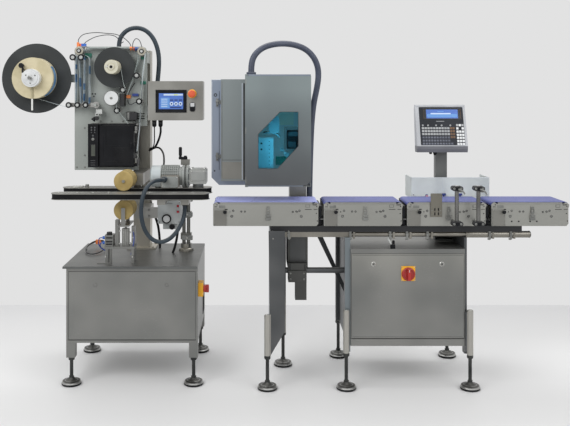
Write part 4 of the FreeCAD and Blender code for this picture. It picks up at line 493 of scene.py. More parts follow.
hose_grey = finish("hose_grey", (40, 50, 58), (50, 60, 68), 0.5, grain=600, cloud=14,
                   scuff=0.2, scuff_tone=(110, 120, 130), specular=0.3)
hose_dark = finish("hose_dark", (56, 62, 78), (68, 74, 90), 0.5, grain=600, cloud=14, scuff=0.2,
                   scuff_tone=(110, 118, 132))
print("finishes:", len(bpy.data.materials))


# %% [markdown]
# ## Clear plastics
# The hood's window is a blue-green tinted sheet, and the draught guards behind the weighing belt are milky
# acrylic. Both are real sheets with a thickness, so plain transmission with a tinted colour is enough. The
# milky one scatters: it keeps part of its light as an ordinary matte surface.


# %% Clear plastics
def clear_sheet(name, tone, rough, transmission, ior=1.49):
    """A tinted sheet: transmission with a colour, and a faint cloudiness in its roughness."""
    material = bpy.data.materials.new(name)
    material.use_nodes = True
    tree = material.node_tree
    shader = tree.nodes["Principled BSDF"]
    place = tree.nodes.new("ShaderNodeTexCoord").outputs["Object"]
    tone = paint(*tone)
    tint = tuple(min(1, value * 1.12) for value in tone)
    clouds = place_group(tree, CLOUDS, Position=place, Scale=6, Tone_A=tone, Tone_B=tint)
    scuffs = place_group(tree, SCUFFS, Position=place, Scale=90, Amount=0.15)
    rougher = number_node(tree, "ADD", scuffs.outputs["Mask"], rough)
    tree.links.new(clouds.outputs["Color"], shader.inputs["Base Color"])
    tree.links.new(rougher, shader.inputs["Roughness"])
    shader.inputs["Transmission Weight"].default_value = transmission
    shader.inputs["IOR"].default_value = ior
    return material


window_tint = clear_sheet("window_tint", (138, 217, 240), 0.05, 1.0, 1.12)
guard_milky = clear_sheet("guard_milky", (214, 219, 218), 0.4, 0.45, 1.3)
print("clear sheets:", window_tint.name, guard_milky.name)

# %% [markdown]
# ## Dressing the model's own parts
# Each part of the model keeps its shape and gets a finish by name. Parts that hold several real materials
# are painted in zones: a mask from the position on the part picks a second finish colour, just as a sprayed
# or moulded part changes colour at an edge.


# %% Dress by name
def dress(material, *names):
    """Gives the parts of the model one finish."""
    for name in names:
        mesh = nodes[name].data
        mesh.materials.clear()
        mesh.materials.append(material)


dress(steel_sheet, "wrap_door", "line_cabinet", "lift_carriage")
dress(steel_top, "wrap_table_top")
dress(door_steel, "labeler_door")
dress(steel_turned, "dancer_arm", "load_cell", "front_drive_pulley", "back_drive_pulley",
      *[f"conveyor_{number}_drive_roller" for number in range(1, 5)])
dress(black_plastic, "print_engine", "print_engine_cover", "hmi_screen", "hmi_hold_button")
dress(dark_gear, "control_gear")
dress(belt_black, "side_belts")
dress(roll_paper, "label_roll")
dress(nylon_white, "nip_wheel", "hmi_start_button")
dress(foam_tan, "upper_foam_roller", "lower_foam_roller")
dress(stop_red, "hmi_stop_button")
dress(switch_red, "wrap_isolator_knob", "line_isolator_knob")
dress(console_grey, "console")
dress(window_tint, "labeler_window")
dress(guard_milky, "wind_guards")
print("parts with one plain finish:", sum(1 for item in nodes.values() if item.data.materials))

# %% [markdown]
# ## Hoses
# Three hoses cross the picture: the gearmotor's cable hose, the thick conduit from the back of the label
# plate down to the operator box, and the conduit that leaves the hood's top in an arch and goes down behind
# its column. A hose is one smooth line with a round section, so each is a NURBS curve of order 3 through a
# short list of control points. Order 3 keeps each bend as round as the real hose can make it.


# %% Hoses
def hose(name, points, diameter, material, node):
    """A round hose along one smooth NURBS line of order 3."""
    curve = bpy.data.curves.new(name, "CURVE")
    curve.dimensions = "3D"
    curve.resolution_u = 12
    curve.bevel_depth = diameter / 2
    curve.bevel_resolution = 6
    curve.use_fill_caps = True
    line = curve.splines.new("NURBS")
    line.points.add(len(points) - 1)
    for point, place in zip(line.points, points):
        point.co = (*[value / 1000 for value in place], 1)
    line.order_u = 3
    line.use_endpoint_u = True
    item = bpy.data.objects.new(name, curve)
    bpy.context.scene.collection.objects.link(item)
    curve.materials.append(material)
    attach(item, "root")
    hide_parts(node)
    return item


MOTOR_HOSE = [
    (-578, -180, 1050), (-578, -222, 1050), (-592, -266, 1056), (-618, -306, 1056), (-645, -341, 1034),
    (-664, -365, 988), (-672, -370, 932), (-670, -366, 874), (-656, -354, 816), (-626, -338, 769),
    (-584, -317, 747), (-542, -293, 757), (-510, -270, 785), (-488, -246, 818), (-474, -225, 852),
    (-467, -212, 887), (-467, -212, 920)]
PLATE_HOSE = [
    (-868, 150, 1750), (-868, 150, 1790), (-848, 150, 1830), (-813, 150, 1858), (-769, 150, 1867),
    (-725, 150, 1856), (-690, 150, 1828), (-664, 151, 1786), (-648, 153, 1734), (-643, 155, 1680),
    (-646, 158, 1626), (-651, 161, 1578), (-655, 165, 1539), (-655, 165, 1505)]
LABELER_HOSE = [
    (-125, -40, 1613), (-125, -40, 1662), (-105, -33, 1709), (-65, -22, 1744), (-11, -6, 1763),
    (52, 16, 1770), (118, 40, 1763), (177, 60, 1740), (220, 76, 1698), (244, 90, 1645), (248, 99, 1585),
    (238, 105, 1519), (221, 109, 1440), (210, 111, 1330), (204, 110, 1190), (200, 110, 1050),
    (198, 110, 925), (198, 110, 823)]
motor_hose = hose("motor_cable_hose", MOTOR_HOSE, 0.021, hose_grey, "motor_hose")
plate_hose = hose("plate_conduit", PLATE_HOSE, 0.025, hose_grey, "plate_hose")
hood_hose = hose("hood_conduit", LABELER_HOSE, 0.033, hose_dark, "labeler_hose")
print("hoses:", [item.name for item in (motor_hose, plate_hose, hood_hose)])

# %% [markdown]
# ## Painted zones
# Some parts of the model hold more than one real finish: a black clamp on a bright post, a yellow switch
# plate on a steel wall, a white hub on a grey disc. The **inside box** group compares the position with two
# corners and gives 1 inside. Each zone then mixes its own colour, metal value and roughness into the finish.


# %% Inside box
def build_inside_box():
    """Mask = 1 where low < position < high on all three axes: a product of six comparisons."""
    group, start, end = new_group(
        "inside_box",
        [("Position", "NodeSocketVector", None), ("Low", "NodeSocketVector", (0, 0, 0)),
         ("High", "NodeSocketVector", (1, 1, 1))],
        [("Mask", "NodeSocketFloat")])
    parts = []
    for label in ("Position", "Low", "High"):
        split = group.nodes.new("ShaderNodeSeparateXYZ")
        group.links.new(start.outputs[label], split.inputs[0])
        parts.append(split)
    mask = 1.0
    for axis in "XYZ":
        above = number_node(group, "GREATER_THAN", parts[0].outputs[axis], parts[1].outputs[axis])
        below = number_node(group, "LESS_THAN", parts[0].outputs[axis], parts[2].outputs[axis])
        mask = number_node(group, "MULTIPLY", mask, number_node(group, "MULTIPLY", above, below))
    group.links.new(mask, end.inputs["Mask"])
    return group


INSIDE_BOX = build_inside_box()


def zone(material, low, high, tone, rough=None, metallic=None):
    """Paints the part of a finish between two corners, given in millimetres."""
    tree = material.node_tree
    shader = tree.nodes["Principled BSDF"]
    place = tree.nodes.new("ShaderNodeTexCoord").outputs["Object"]
    box = place_group(tree, INSIDE_BOX, Position=place, Low=tuple(value / 1000 for value in low),
                      High=tuple(value / 1000 for value in high))
    mask = box.outputs["Mask"]
    before = shader.inputs["Base Color"].links[0].from_socket
    mix = tree.nodes.new("ShaderNodeMix")
    mix.data_type = "RGBA"
    tree.links.new(mask, mix.inputs["Factor"])
    tree.links.new(before, mix.inputs["A"])
    mix.inputs["B"].default_value = paint(*tone)
    tree.links.new(mix.outputs["Result"], shader.inputs["Base Color"])
    for label, value in (("Roughness", rough), ("Metallic", metallic)):
        if value is None:
            continue
        socket = shader.inputs[label]
        blend = tree.nodes.new("ShaderNodeMix")
        if socket.is_linked:
            tree.links.new(socket.links[0].from_socket, blend.inputs["A"])
        else:
            blend.inputs["A"].default_value = socket.default_value
        blend.inputs["B"].default_value = value
        tree.links.new(mask, blend.inputs["Factor"])
        tree.links.new(blend.outputs["Result"], socket)


# Where below and above differ, shade paints light and shade into the colour along the height; with one factor
# it is a plain tint.
def shade(material, above, below=None, low=0.0, high=2.0):
    """Multiplies a finish by below at the height low, and by above at the height high, in metres."""
    tree = material.node_tree
    shader = tree.nodes["Principled BSDF"]
    split = tree.nodes.new("ShaderNodeSeparateXYZ")
    tree.links.new(tree.nodes.new("ShaderNodeTexCoord").outputs["Object"], split.inputs[0])
    ramp = tree.nodes.new("ShaderNodeMapRange")
    ramp.inputs["From Min"].default_value = low
    ramp.inputs["From Max"].default_value = high
    tree.links.new(split.outputs["Z"], ramp.inputs["Value"])
    tones, product = tree.nodes.new("ShaderNodeMix"), tree.nodes.new("ShaderNodeMix")
    tones.data_type = product.data_type = "RGBA"
    product.blend_type = "MULTIPLY"
    product.inputs["Factor"].default_value = 1
    tones.inputs["A"].default_value = (*(below or above), 1)
    tones.inputs["B"].default_value = (*above, 1)
    tree.links.new(ramp.outputs["Result"], tones.inputs["Factor"])
    tree.links.new(shader.inputs["Base Color"].links[0].from_socket, product.inputs["A"])
    tree.links.new(tones.outputs["Result"], product.inputs["B"])
    tree.links.new(product.outputs["Result"], shader.inputs["Base Color"])


def own_finish(material, name, *part_names):
    """A copy of a finish for parts that get zones of their own."""
    copy = material.copy()
    copy.name = name
    dress(copy, *part_names)
    return copy


print("zones ready:", INSIDE_BOX.name)

# %% [markdown]
# The zones themselves are read off the picture: which bits are black, white, red, yellow or blue.

# %% Zones of the left station
BLACK = (20, 21, 24)
WHITE = (212, 212, 209)
RED = (178, 40, 30)
YELLOW = (232, 170, 30)
STEEL = (160, 160, 157)
ORANGE = (214, 92, 48)
BLUE = (36, 92, 178)

supply = own_finish(disc_grey, "supply_reel_finish", "supply_disc")
zone(supply, (-1400, -80, 1400), (-1200, -29.8, 1700), WHITE, 0.45)
zone(supply, (-1368, -60, 1608), (-1344, -29.8, 1660), BLACK, 0.5)
zone(supply, (-1310, -60, 1468), (-1298, -29.8, 1531), (160, 152, 124), 0.7)
rewind = own_finish(disc_grey, "rewind_reel_finish", "rewind_disc")
zone(rewind, (-912, -90, 1598), (-830, 19.4, 1680), (184, 179, 158), 0.6)
zone(rewind, (-905, -90, 1630), (-880, -80.4, 1650), (190, 190, 186), 0.4)
plate = own_finish(plate_paint, "label_plate_finish", "label_plate")
zone(plate, (-1320, -100, 1565), (-1290, -50, 1595), STEEL, 0.3, 0.9)
zone(plate, (-1345, 90, 1550), (-1101, 110, 1610), (70, 72, 74), 0.5)
rollers = own_finish(steel_turned, "roller_finish", "idler_rollers")
zone(rollers, (-842, 0, 1420), (-816, 79, 1500), BLACK, 0.5, 0.0)
zone(rollers, (-794, 0, 1350), (-750, 79, 1394), BLACK, 0.5, 0.0)
zone(rollers, (-1080, 50, 1756.5), (-1060, 80, 1780), ORANGE, 0.4, 0.0)
zone(rollers, (-1060, 50, 1756.5), (-1030, 80, 1780), BLUE, 0.4, 0.0)
zone(rollers, (-780, 50, 1734), (-766, 80, 1752), ORANGE, 0.4, 0.0)
zone(rollers, (-766, 50, 1734), (-745, 80, 1752), BLUE, 0.4, 0.0)
zone(rollers, (-1000, 20, 1330), (-955, 50, 1376), BLACK, 0.5, 0.0)
box_steel = own_finish(steel_long, "operator_box_finish", "hmi_box")
zone(box_steel, (-700, 0, 1300), (-380, 119, 1350.8), BLACK, 0.5, 0.0)
zone(box_steel, (-462, -8, 1398), (-428, -0.1, 1450), BLACK, 0.4, 0.0)
zone(box_steel, (-466, -8, 1470), (-426, -0.1, 1520), YELLOW, 0.4, 0.0)
cabinet = own_finish(steel_sheet, "wrap_cabinet_finish", "wrap_cabinet")
zone(cabinet, (-398.9, -201, 445), (-373, -134, 517), YELLOW, 0.38, 0.0)
drive = own_finish(drive_paint, "drive_box_finish", "wrap_drive_box")
zone(drive, (-600, -105, 806), (-548, -90.2, 858), BLACK, 0.45)
zone(drive, (-524, -100, 862), (-505, -90.2, 908), RED, 0.3)
zone(drive, (-558, -95, 775), (-532, -70.5, 803), BLACK, 0.5)
zone(drive, (-760, 38, 812), (-600.5, 215, 875), STEEL, 0.4, 0.85)
motor = own_finish(motor_paint, "gearmotor_finish", "side_belt_gearmotor")
zone(motor, (-598, -165, 1000), (-504, -100, 1068), (123, 119, 111), 0.45)
zone(motor, (-453, -120, 1017), (-360, -20, 1102), (156, 158, 155), 0.4, 0.3)
zone(motor, (-595, -182, 1034), (-560, -163.2, 1066), BLACK, 0.5)
lift = own_finish(steel_sheet, "lift_finish", "lift_actuator")
zone(lift, (-884, -170, 759.5), (-850, -130, 775), BLACK, 0.5, 0.0)
zone(lift, (-902, -170, 705), (-887.2, -150, 755), BLUE, 0.4, 0.0)
column = own_finish(steel_sheet, "column_finish", "wrap_column")
# Painted light: this copy of the steel is brightened to offset the shading that darkens the column.
shade(column, (1.75, 1.66, 1.52))
zone(column, (-530, 135, 615.5), (-450, 185, 940), (124, 124, 120), 0.36, 0.85)
frames = own_finish(steel_long, "side_frame_finish", "side_belt_frames")
zone(frames, (-485, -230, 919), (-450, -195, 936), BLACK, 0.5, 0.0)
zone(frames, (-704, -20, 995), (-698, 215, 1100), (104, 101, 94), 0.4, 0.7)
own_finish(black_plastic, "crank_finish", "crank_handle")
print("finishes after the left station:", len(bpy.data.materials))

# %% Zones of the right line
rails = own_finish(steel_long, "rail_finish", "line_rails")
shade(rails, (0.86, 0.83, 0.79))
zone(rails, (-30, -300, 790.2), (1300, 0, 825), (34, 35, 37), 0.5, 0.3)
zone(rails, (1300, -300, 750), (1320, 0, 800), BLACK, 0.5, 0.0)
hood = own_finish(shell_steel, "hood_finish", "labeler_body")
zone(hood, (-281.9, -300, 1000), (200, -90.2, 1600), (130, 136, 137), 0.34, 0.8)
zone(hood, (-160, -80, 1589), (-90, -5, 1650), (62, 68, 82), 0.5, 0.0)
zone(hood, (60, 10.2, 1140), (180, 61, 1460), (96, 98, 98), 0.4, 0.8)
# Painted reflection: the shell is lighter towards its top and darker towards its bottom.
shade(hood, (1.12, 1.14, 1.14), (0.94, 0.93, 0.92), 1.1, 1.5)
# Painted reflection: the hood door is much lighter towards its top and darker towards its bottom.
shade(door_steel, (1.36, 1.5, 1.5), (0.7, 0.7, 0.72), 1.05, 1.52)
line_door_steel = own_finish(steel_sheet, "line_door_finish", "line_door")
# Painted light: the line door is lighter towards its top.
shade(line_door_steel, (1.34, 1.32, 1.28), (1, 1, 1), 0.5, 0.68)
zone(line_door_steel, (636, -285, 546), (708, -280.1, 623), YELLOW, 0.38, 0.0)
fittings = own_finish(steel_turned, "fittings_finish", "weigh_lane_fittings")
shade(fittings, (0.52, 0.52, 0.52))
zone(fittings, (870, -370, 835.5), (1045, -328, 860.5), BLACK, 0.45, 0.0)
zone(fittings, (870, -370, 1011.5), (1045, -328, 1036.5), BLACK, 0.45, 0.0)
zone(fittings, (780, -275, 865), (850, -264, 992), (124, 121, 112), 0.4, 0.85)
zone(fittings, (895, -44, 945), (1015, -34, 962), (36, 52, 116), 0.4, 0.0)
post = own_finish(steel_dark, "console_post_finish", "console_post")
shade(post, (1.5, 1.5, 1.48))
hood_column = own_finish(steel_sheet, "hood_column_finish", "labeler_column")
# Painted light and shade: the column is lighter above 0.95 m and darkened below 0.8 m, under the conveyors.
shade(hood_column, (1.3, 1.3, 1.3), (0.37, 0.37, 0.37), 0.8, 0.95)
mechanism = own_finish(nylon_white, "mechanism_finish", "labeler_mechanism")
zone(mechanism, (-60, -170, 1330), (100, -90, 1495), (214, 206, 182), 0.7, 0.0)
zone(mechanism, (49, -250, 1199), (136, -90, 1321), (34, 36, 42), 0.5, 0.0)
# Painted glow: the mechanism is no lamp; this faint emission stands in for the light inside the hood.
lamp = mechanism.node_tree.nodes["Principled BSDF"].inputs
lamp["Emission Color"].default_value = paint(205, 212, 212)
lamp["Emission Strength"].default_value = 0.11
zone(mechanism, (-260, -150, 1375), (-125, -90, 1505), (214, 206, 182), 0.7, 0.0)
panels = own_finish(steel_dark, "leg_panel_finish", "line_leg_panels")
shade(panels, (1.15, 1.15, 1.17))
zone(panels, (200, -70, 420), (376, -50, 765), (56, 58, 60), 0.45, 0.7)
SLEEVE = (164, 162, 156)
for x, y, top in ((-42.5, -284, 374), (50, 71.5, 374), (357.5, -282.5, 398), (370, 220.5, 412),
                  (985, -284, 398), (990, 220.5, 412)):
    zone(panels, (x - 17, y - 17, 170), (x + 17, y + 14.3, top + 4), SLEEVE, 0.4, 0.6)
zone(panels, (352, -271, 180), (380.2, -225, 790), (120, 128, 132), 0.4, 0.8)
zone(panels, (-29.5, -284, 180), (-24.9, 86, 788), (106, 113, 118), 0.38, 0.8)
feet = own_finish(foot_steel, "domed_foot_finish", "levelling_feet")
# Painted highlight: a bright metallic band round the middle of each domed foot.
zone(feet, (-2000, -500, 11), (2000, 500, 24), (168, 168, 166), 0.36, 0.85)
shade(console_grey, (1, 1, 1), (0.3, 0.3, 0.32), 1.212, 1.216)
belts = own_finish(belt_blue, "belt_finish", "conveyor_belts")
# Painted light: the first belt, shaded by the hood, is painted lighter than the other belts.
zone(belts, (-330, -300, 860), (222, 0, 950), (172, 179, 236), 0.55)
print("finishes after the right line:", len(bpy.data.materials))

# %% [markdown]
# ## Surface helpers
# Four small functions make nearly every fitting. Each works out its points as one array.
#
# - **lathe** turns a profile of (radius, height) pairs about an axis, for knobs, rings and rollers.
# - **slab** is a rounded block: a rounded rectangle drawn at four heights, the first and last drawn in.
# - **tube** carries a circle along a path, for wires and levers.
# - **band** carries a thin flat section along a path seen from the front, for the label web.

# %% Surface helpers
AXIS_FRAMES = {
    "X": ((0, 1, 0), (0, 0, 1), (1, 0, 0)), "Y": ((0, 0, 1), (1, 0, 0), (0, 1, 0)),
    "Z": ((1, 0, 0), (0, 1, 0), (0, 0, 1)), "-Y": ((1, 0, 0), (0, 0, 1), (0, -1, 0)),
    "-X": ((0, 0, 1), (0, 1, 0), (-1, 0, 0)), "-Z": ((0, 1, 0), (1, 0, 0), (0, 0, -1)),
}


def grid_faces(rows, columns, wrap):
    """Quads between neighbouring rows; wrap joins the last column to the first."""
    row = np.arange(rows - 1)[:, None]
    column = np.arange(columns if wrap else columns - 1)[None, :]
    after = (column + 1) % columns
    quads = np.stack([row * columns + column, row * columns + after,
                      (row + 1) * columns + after, (row + 1) * columns + column], axis=-1)
    return quads.reshape(-1, 4)


def lathe(axis, centre, profile, steps=40):
    """Point = centre + r (cos a u + sin a v) + h w for each (r, h) of the profile and each angle a."""
    u, v, w = (np.array(side, float) for side in AXIS_FRAMES[axis])
    radius, height = np.array(profile, float).T
    angle = np.linspace(0, 2 * np.pi, steps, endpoint=False)
    ring = np.cos(angle)[None, :, None] * u + np.sin(angle)[None, :, None] * v
    points = np.array(centre, float) + radius[:, None, None] * ring + height[:, None, None] * w
    return points.reshape(-1, 3), grid_faces(len(radius), steps, True)


def rounded_outline(width, depth, corner, per_corner=5):
    """A rounded rectangle: quarter circles of the corner radius round four inner corners."""
    corner = min(corner, width / 2 - 1e-4, depth / 2 - 1e-4)
    angle = np.linspace(0, np.pi / 2, per_corner)
    sides = np.array([(1, 1), (-1, 1), (-1, -1), (1, -1)], float)
    turn = np.arange(4) * np.pi / 2
    arc = np.stack([np.cos(angle[None] + turn[:, None]), np.sin(angle[None] + turn[:, None])], axis=-1)
    middle = sides * (np.array([width, depth]) / 2 - corner)
    return (middle[:, None] + corner * arc).reshape(-1, 2)


def slab(axis, centre, width, depth, height, corner=1.0, edge=0.5, per_corner=5):
    """A rounded block: outlines at heights 0, edge, height - edge and height, the first and last drawn in."""
    u, v, w = (np.array(side, float) for side in AXIS_FRAMES[axis])
    edge = min(edge, height / 3, width / 4, depth / 4)
    levels = [(edge, 0), (0, edge), (0, height - edge), (edge, height)]
    rings = []
    for inset, level in levels:
        flat = rounded_outline(width - 2 * inset, depth - 2 * inset, max(corner - inset, 0.05), per_corner)
        rings.append(flat[:, :1] * u + flat[:, 1:] * v + level * w)
    count = len(rings[0])
    rings = [np.repeat((levels[0][1] * w)[None], count, 0)] + rings + [np.repeat((height * w)[None], count,
                                                                                 0)]
    points = np.array(centre, float) + np.concatenate(rings)
    return points, grid_faces(len(rings), count, True)


def tube(path, radius, sides=10, up=(0, 0, 1)):
    """Circle points round each path point, in the plane of cross(tangent, up) and its partner."""
    path = np.array(path, float)
    tangent = np.gradient(path, axis=0)
    tangent /= np.linalg.norm(tangent, axis=1, keepdims=True)
    side = np.cross(tangent, np.array(up, float))
    side /= np.linalg.norm(side, axis=1, keepdims=True)
    other = np.cross(side, tangent)
    angle = np.linspace(0, 2 * np.pi, sides, endpoint=False)
    ring = side[:, None] * np.cos(angle)[None, :, None] + other[:, None] * np.sin(angle)[None, :, None]
    size = np.broadcast_to(np.asarray(radius, float), (len(path),))
    points = path[:, None] + ring * size[:, None, None]
    points = np.concatenate([np.repeat(path[:1], sides, 0)[None], points,
                             np.repeat(path[-1:], sides, 0)[None]])
    return points.reshape(-1, 3), grid_faces(len(points), sides, True)


def smooth_path(points, count=40):
    """A Catmull-Rom line: on each stretch a cubic of its four neighbouring points."""
    points = np.array(points, float)
    ends = np.concatenate([[2 * points[0] - points[1]], points, [2 * points[-1] - points[-2]]])
    place = np.linspace(0, len(points) - 1 - 1e-9, count)
    index = place.astype(int)
    t = (place - index)[:, None]
    a, b, c, d = (ends[index + k] for k in range(4))
    cubic = (2 * a - 5 * b + 4 * c - d) * t ** 2 + (3 * b - a - 3 * c + d) * t ** 3
    return 0.5 * (2 * b + (c - a) * t + cubic)


def band(path, low_y, high_y, thick=0.4):
    """A flat band: at each (x, z) of the path, four corners of a thin section across the path."""
    path = np.array(path, float)
    tangent = np.gradient(path, axis=0)
    tangent /= np.linalg.norm(tangent, axis=1, keepdims=True)
    normal = np.stack([-tangent[:, 1], tangent[:, 0]], axis=1) * thick / 2
    corners = []
    for y, sign in ((low_y, 1), (high_y, 1), (high_y, -1), (low_y, -1)):
        flat = path + sign * normal
        corners.append(np.stack([flat[:, 0], np.full(len(path), float(y)), flat[:, 1]], axis=1))
    points = np.stack(corners, axis=1)
    middle = points.mean(axis=1, keepdims=True)
    points = np.concatenate([np.repeat(middle[:1], 4, 1), points, np.repeat(middle[-1:], 4, 1)])
    return points.reshape(-1, 3), grid_faces(len(points), 4, True)


# %% [markdown]
# **piece** joins such surfaces into one object. It gives each surface its finish, merges the doubled points
# at poles, turns all faces outwards, and keeps edges sharper than 35 degrees crisp.
#
# The finish number comes with the surface, so each form has a short call that adds it: **tile** and **spun**
# face the viewer, **block** and **wheel** take any axis, **rod** and **bent_rod** follow a path.

# %% Build a piece
import bmesh


def piece(name, surfaces, materials, body, sharp=35):
    """One object from (points, faces, finish number) surfaces in millimetres."""
    points, faces, numbers = [], [], []
    offset = 0
    for surface in surfaces:
        points.append(surface[0])
        faces.append(surface[1] + offset)
        numbers.append(np.full(len(surface[1]), surface[2] if len(surface) > 2 else 0))
        offset += len(surface[0])
    mesh = bpy.data.meshes.new(name)
    mesh.from_pydata((np.concatenate(points) / 1000).tolist(), [], np.concatenate(faces).tolist())
    mesh.polygons.foreach_set("material_index", np.concatenate(numbers).astype(np.int32))
    work = bmesh.new()
    work.from_mesh(mesh)
    bmesh.ops.remove_doubles(work, verts=work.verts, dist=1e-6)
    bmesh.ops.dissolve_degenerate(work, dist=1e-7, edges=work.edges)
    bmesh.ops.recalc_face_normals(work, faces=work.faces)
    work.to_mesh(mesh)
    work.free()
    mesh.polygons.foreach_set("use_smooth", np.ones(len(mesh.polygons), dtype=bool))
    mesh.set_sharp_from_angle(angle=math.radians(sharp))
    for material in materials:
        mesh.materials.append(material)
    item = bpy.data.objects.new(name, mesh)
    bpy.context.scene.collection.objects.link(item)
    if body:
        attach(item, body)
    return item


def numbered(surface, number):
    """A surface with its finish number."""
    return *surface[:2], number


def tile(number, *shape):
    """A slab that faces the viewer, with its finish number."""
    return *slab("-Y", *shape), number


def spun(number, *shape):
    """A lathe that faces the viewer, with its finish number."""
    return *lathe("-Y", *shape), number


def block(number, *shape):
    """A slab on any axis, with its finish number."""
    return *slab(*shape), number


def wheel(number, *shape):
    """A lathe about any axis, with its finish number."""
    return *lathe(*shape), number


def rod(number, *shape):
    """A tube along a path, with its finish number."""
    return *tube(*shape), number


def bent_rod(number, points, count, *shape):
    """A tube along a smooth line through a few points, with its finish number."""
    return *tube(smooth_path(points, count), *shape), number


def screw_head(axis, centre, radius, height=2.0, number=0):
    """A pan head with a small round recess: a profile that drops in the middle."""
    profile = [(0, height * 0.4), (radius * 0.35, height * 0.4), (radius * 0.4, height),
               (radius * 0.8, height), (radius, height * 0.55), (radius, 0), (0, 0)]
    return wheel(number, axis, centre, profile, 18)


print("helpers ready")

# %% [markdown]
# ## Finishes for the small parts
# Screens, rubber, wires, tinted rings and labels need a few more finishes. Each is built with the same
# function as the large ones, so it also has grain, a slow change of tone, scuffs and dust.

# %% Small finishes
black_gloss = finish("black_gloss", (14, 15, 17), (20, 21, 24), 0.22, grain=1500, cloud=12, coat=0.3)
wire_black = finish("wire_black", (34, 36, 40), (44, 46, 50), 0.5, cloud=30)
bright_steel = finish("bright_steel", (186, 186, 183), (206, 206, 202), 0.24, metallic=0.95,
                      grain=1200, cloud=18, scuff=0.2, dust=0.1)
dull_steel = finish("dull_steel", (118, 119, 117), (140, 141, 138), 0.4, metallic=0.9,
                    cloud=16, scuff=0.3)
seam_dark = finish("seam_dark", (44, 45, 46), (56, 57, 58), 0.6, metallic=0.4, grain=600, cloud=20)
web_white = finish("web_white", (196, 206, 210), (210, 218, 222), 0.5, grain=600, cloud=20)
liner_tan = finish("liner_tan", (178, 188, 186), (196, 204, 202), 0.4, grain=600, cloud=20)
print_blue = finish("print_blue", (74, 118, 164), (110, 150, 188), 0.45, grain=600, cloud=26)
loop_orange = finish("loop_orange", (222, 120, 60), (236, 140, 78), 0.5, grain=600, cloud=30)
sensor_blue = finish("sensor_blue", (36, 60, 134), (46, 72, 148), 0.4, grain=700, cloud=30)
patch_green = finish("patch_green", (30, 104, 86), (44, 122, 102), 0.5, grain=700, cloud=30)
lamp_red = finish("lamp_red", (150, 20, 34), (176, 30, 44), 0.25, cloud=30, coat=0.5)
pale_grey = finish("pale_grey", (168, 170, 168), (184, 186, 184), 0.5, cloud=14)
print("finishes with the small ones:", len(bpy.data.materials))

# %% [markdown]
# A lit screen gives off a little of its own light, so its colour also goes into the emission. The
# picture on it is generic: a blue field with bars and round buttons, and no words.


# %% Lit screens
def lit(name, tone, strength=0.35, rough=0.18):
    """A smooth plastic whose colour also glows a little."""
    material = finish(name, tone, tone, rough, cloud=20, scuff=0.02, dust=0.02)
    shader = material.node_tree.nodes["Principled BSDF"]
    shader.inputs["Emission Color"].default_value = paint(*tone)
    shader.inputs["Emission Strength"].default_value = strength
    return material


screen_blue = lit("screen_blue", (72, 106, 178), 0.12)
screen_pale = lit("screen_pale", (184, 200, 222), 0.12)
screen_dark = lit("screen_dark", (34, 54, 108), 0.08)
screen_lime = lit("screen_lime", (186, 198, 130), 0.12)

# %% [markdown]
# ## Supply reel
# The label roll is wound paper: its flat face shows fine rings. A white hub holds it, with a bright
# spindle end in its middle, and the rim of the roll carries a printed blue patch towards the back.


# %% Supply reel fittings
def face_rings(centre, low, high, y, count, number=0, lift=0.35):
    """Thin ridges on a disc face: a profile that steps up and down between two radii."""
    edges = np.linspace(low, high, 2 * count + 1)
    heights = np.where(np.arange(2 * count + 1) % 2 == 0, 0.0, lift)
    profile = [(low, -0.3)] + list(zip(edges, heights + 0.05)) + [(high, -0.3), (low, -0.3)]
    return spun(number, (centre[0], y, centre[1]), profile, 72)


SUPPLY = SUPPLY_X, SUPPLY_Z = -1304, 1580
piece("roll_face_rings", [face_rings(SUPPLY, 52, 110, -30, 14)], [roll_paper], "supply_reel")
hub = [
    spun(0, (SUPPLY_X, -65.5, SUPPLY_Z), [(0, 0), (46, 0), (48.6, 2.4), (48.6, 3), (0, 3)], 56),
    spun(0, (SUPPLY_X, -66, SUPPLY_Z),
                   [(0, 0), (40, 0), (40, 3), (38, 5.5), (16, 6.5), (14, 5), (0, 5)], 56),
    spun(1, (SUPPLY_X, -88, SUPPLY_Z), [(0, 0), (9.8, 0), (9.8, 3), (8, 5), (3, 5), (2.6, 3.6), (0, 3.6)],
                   28)]
for turn in (0.5, 2.6, 4.7):
    spot = (SUPPLY_X + 28 * math.cos(turn), -71.6, SUPPLY_Z + 28 * math.sin(turn))
    hub.append(screw_head("-Y", spot, 4.2, 2.2, 1))
piece("supply_hub_cap", hub, [nylon_white, dull_steel], "supply_reel")
roll_patch = np.linspace(-1.05, 0.62, 40)
patch_path = np.stack([SUPPLY_X + 111.4 * np.cos(roll_patch), SUPPLY_Z + 111.4 * np.sin(roll_patch)], axis=1)
piece("roll_rim_print", [band(patch_path, -6, 40, 0.5)], [print_blue], "supply_reel")
piece("retainer_knob", [spun(0, (-1356, -54, 1647), [(0, 0), (9, 0), (13, 4), (14, 10), (12, 13), (0, 13)],
                             28), rod(0, [(-1352, -56, 1640), (-1342, -58, 1628), (-1334, -60, 1616)], 2.6,
                                      10)], [black_plastic], "supply_reel")
print("supply reel dressed")

# %% [markdown]
# ## Rewind reel and nip wheel
# The empty backing paper winds on a small core that fills as the machine runs. The nip wheel is a white
# disc in a dark rubber ring with bolts.

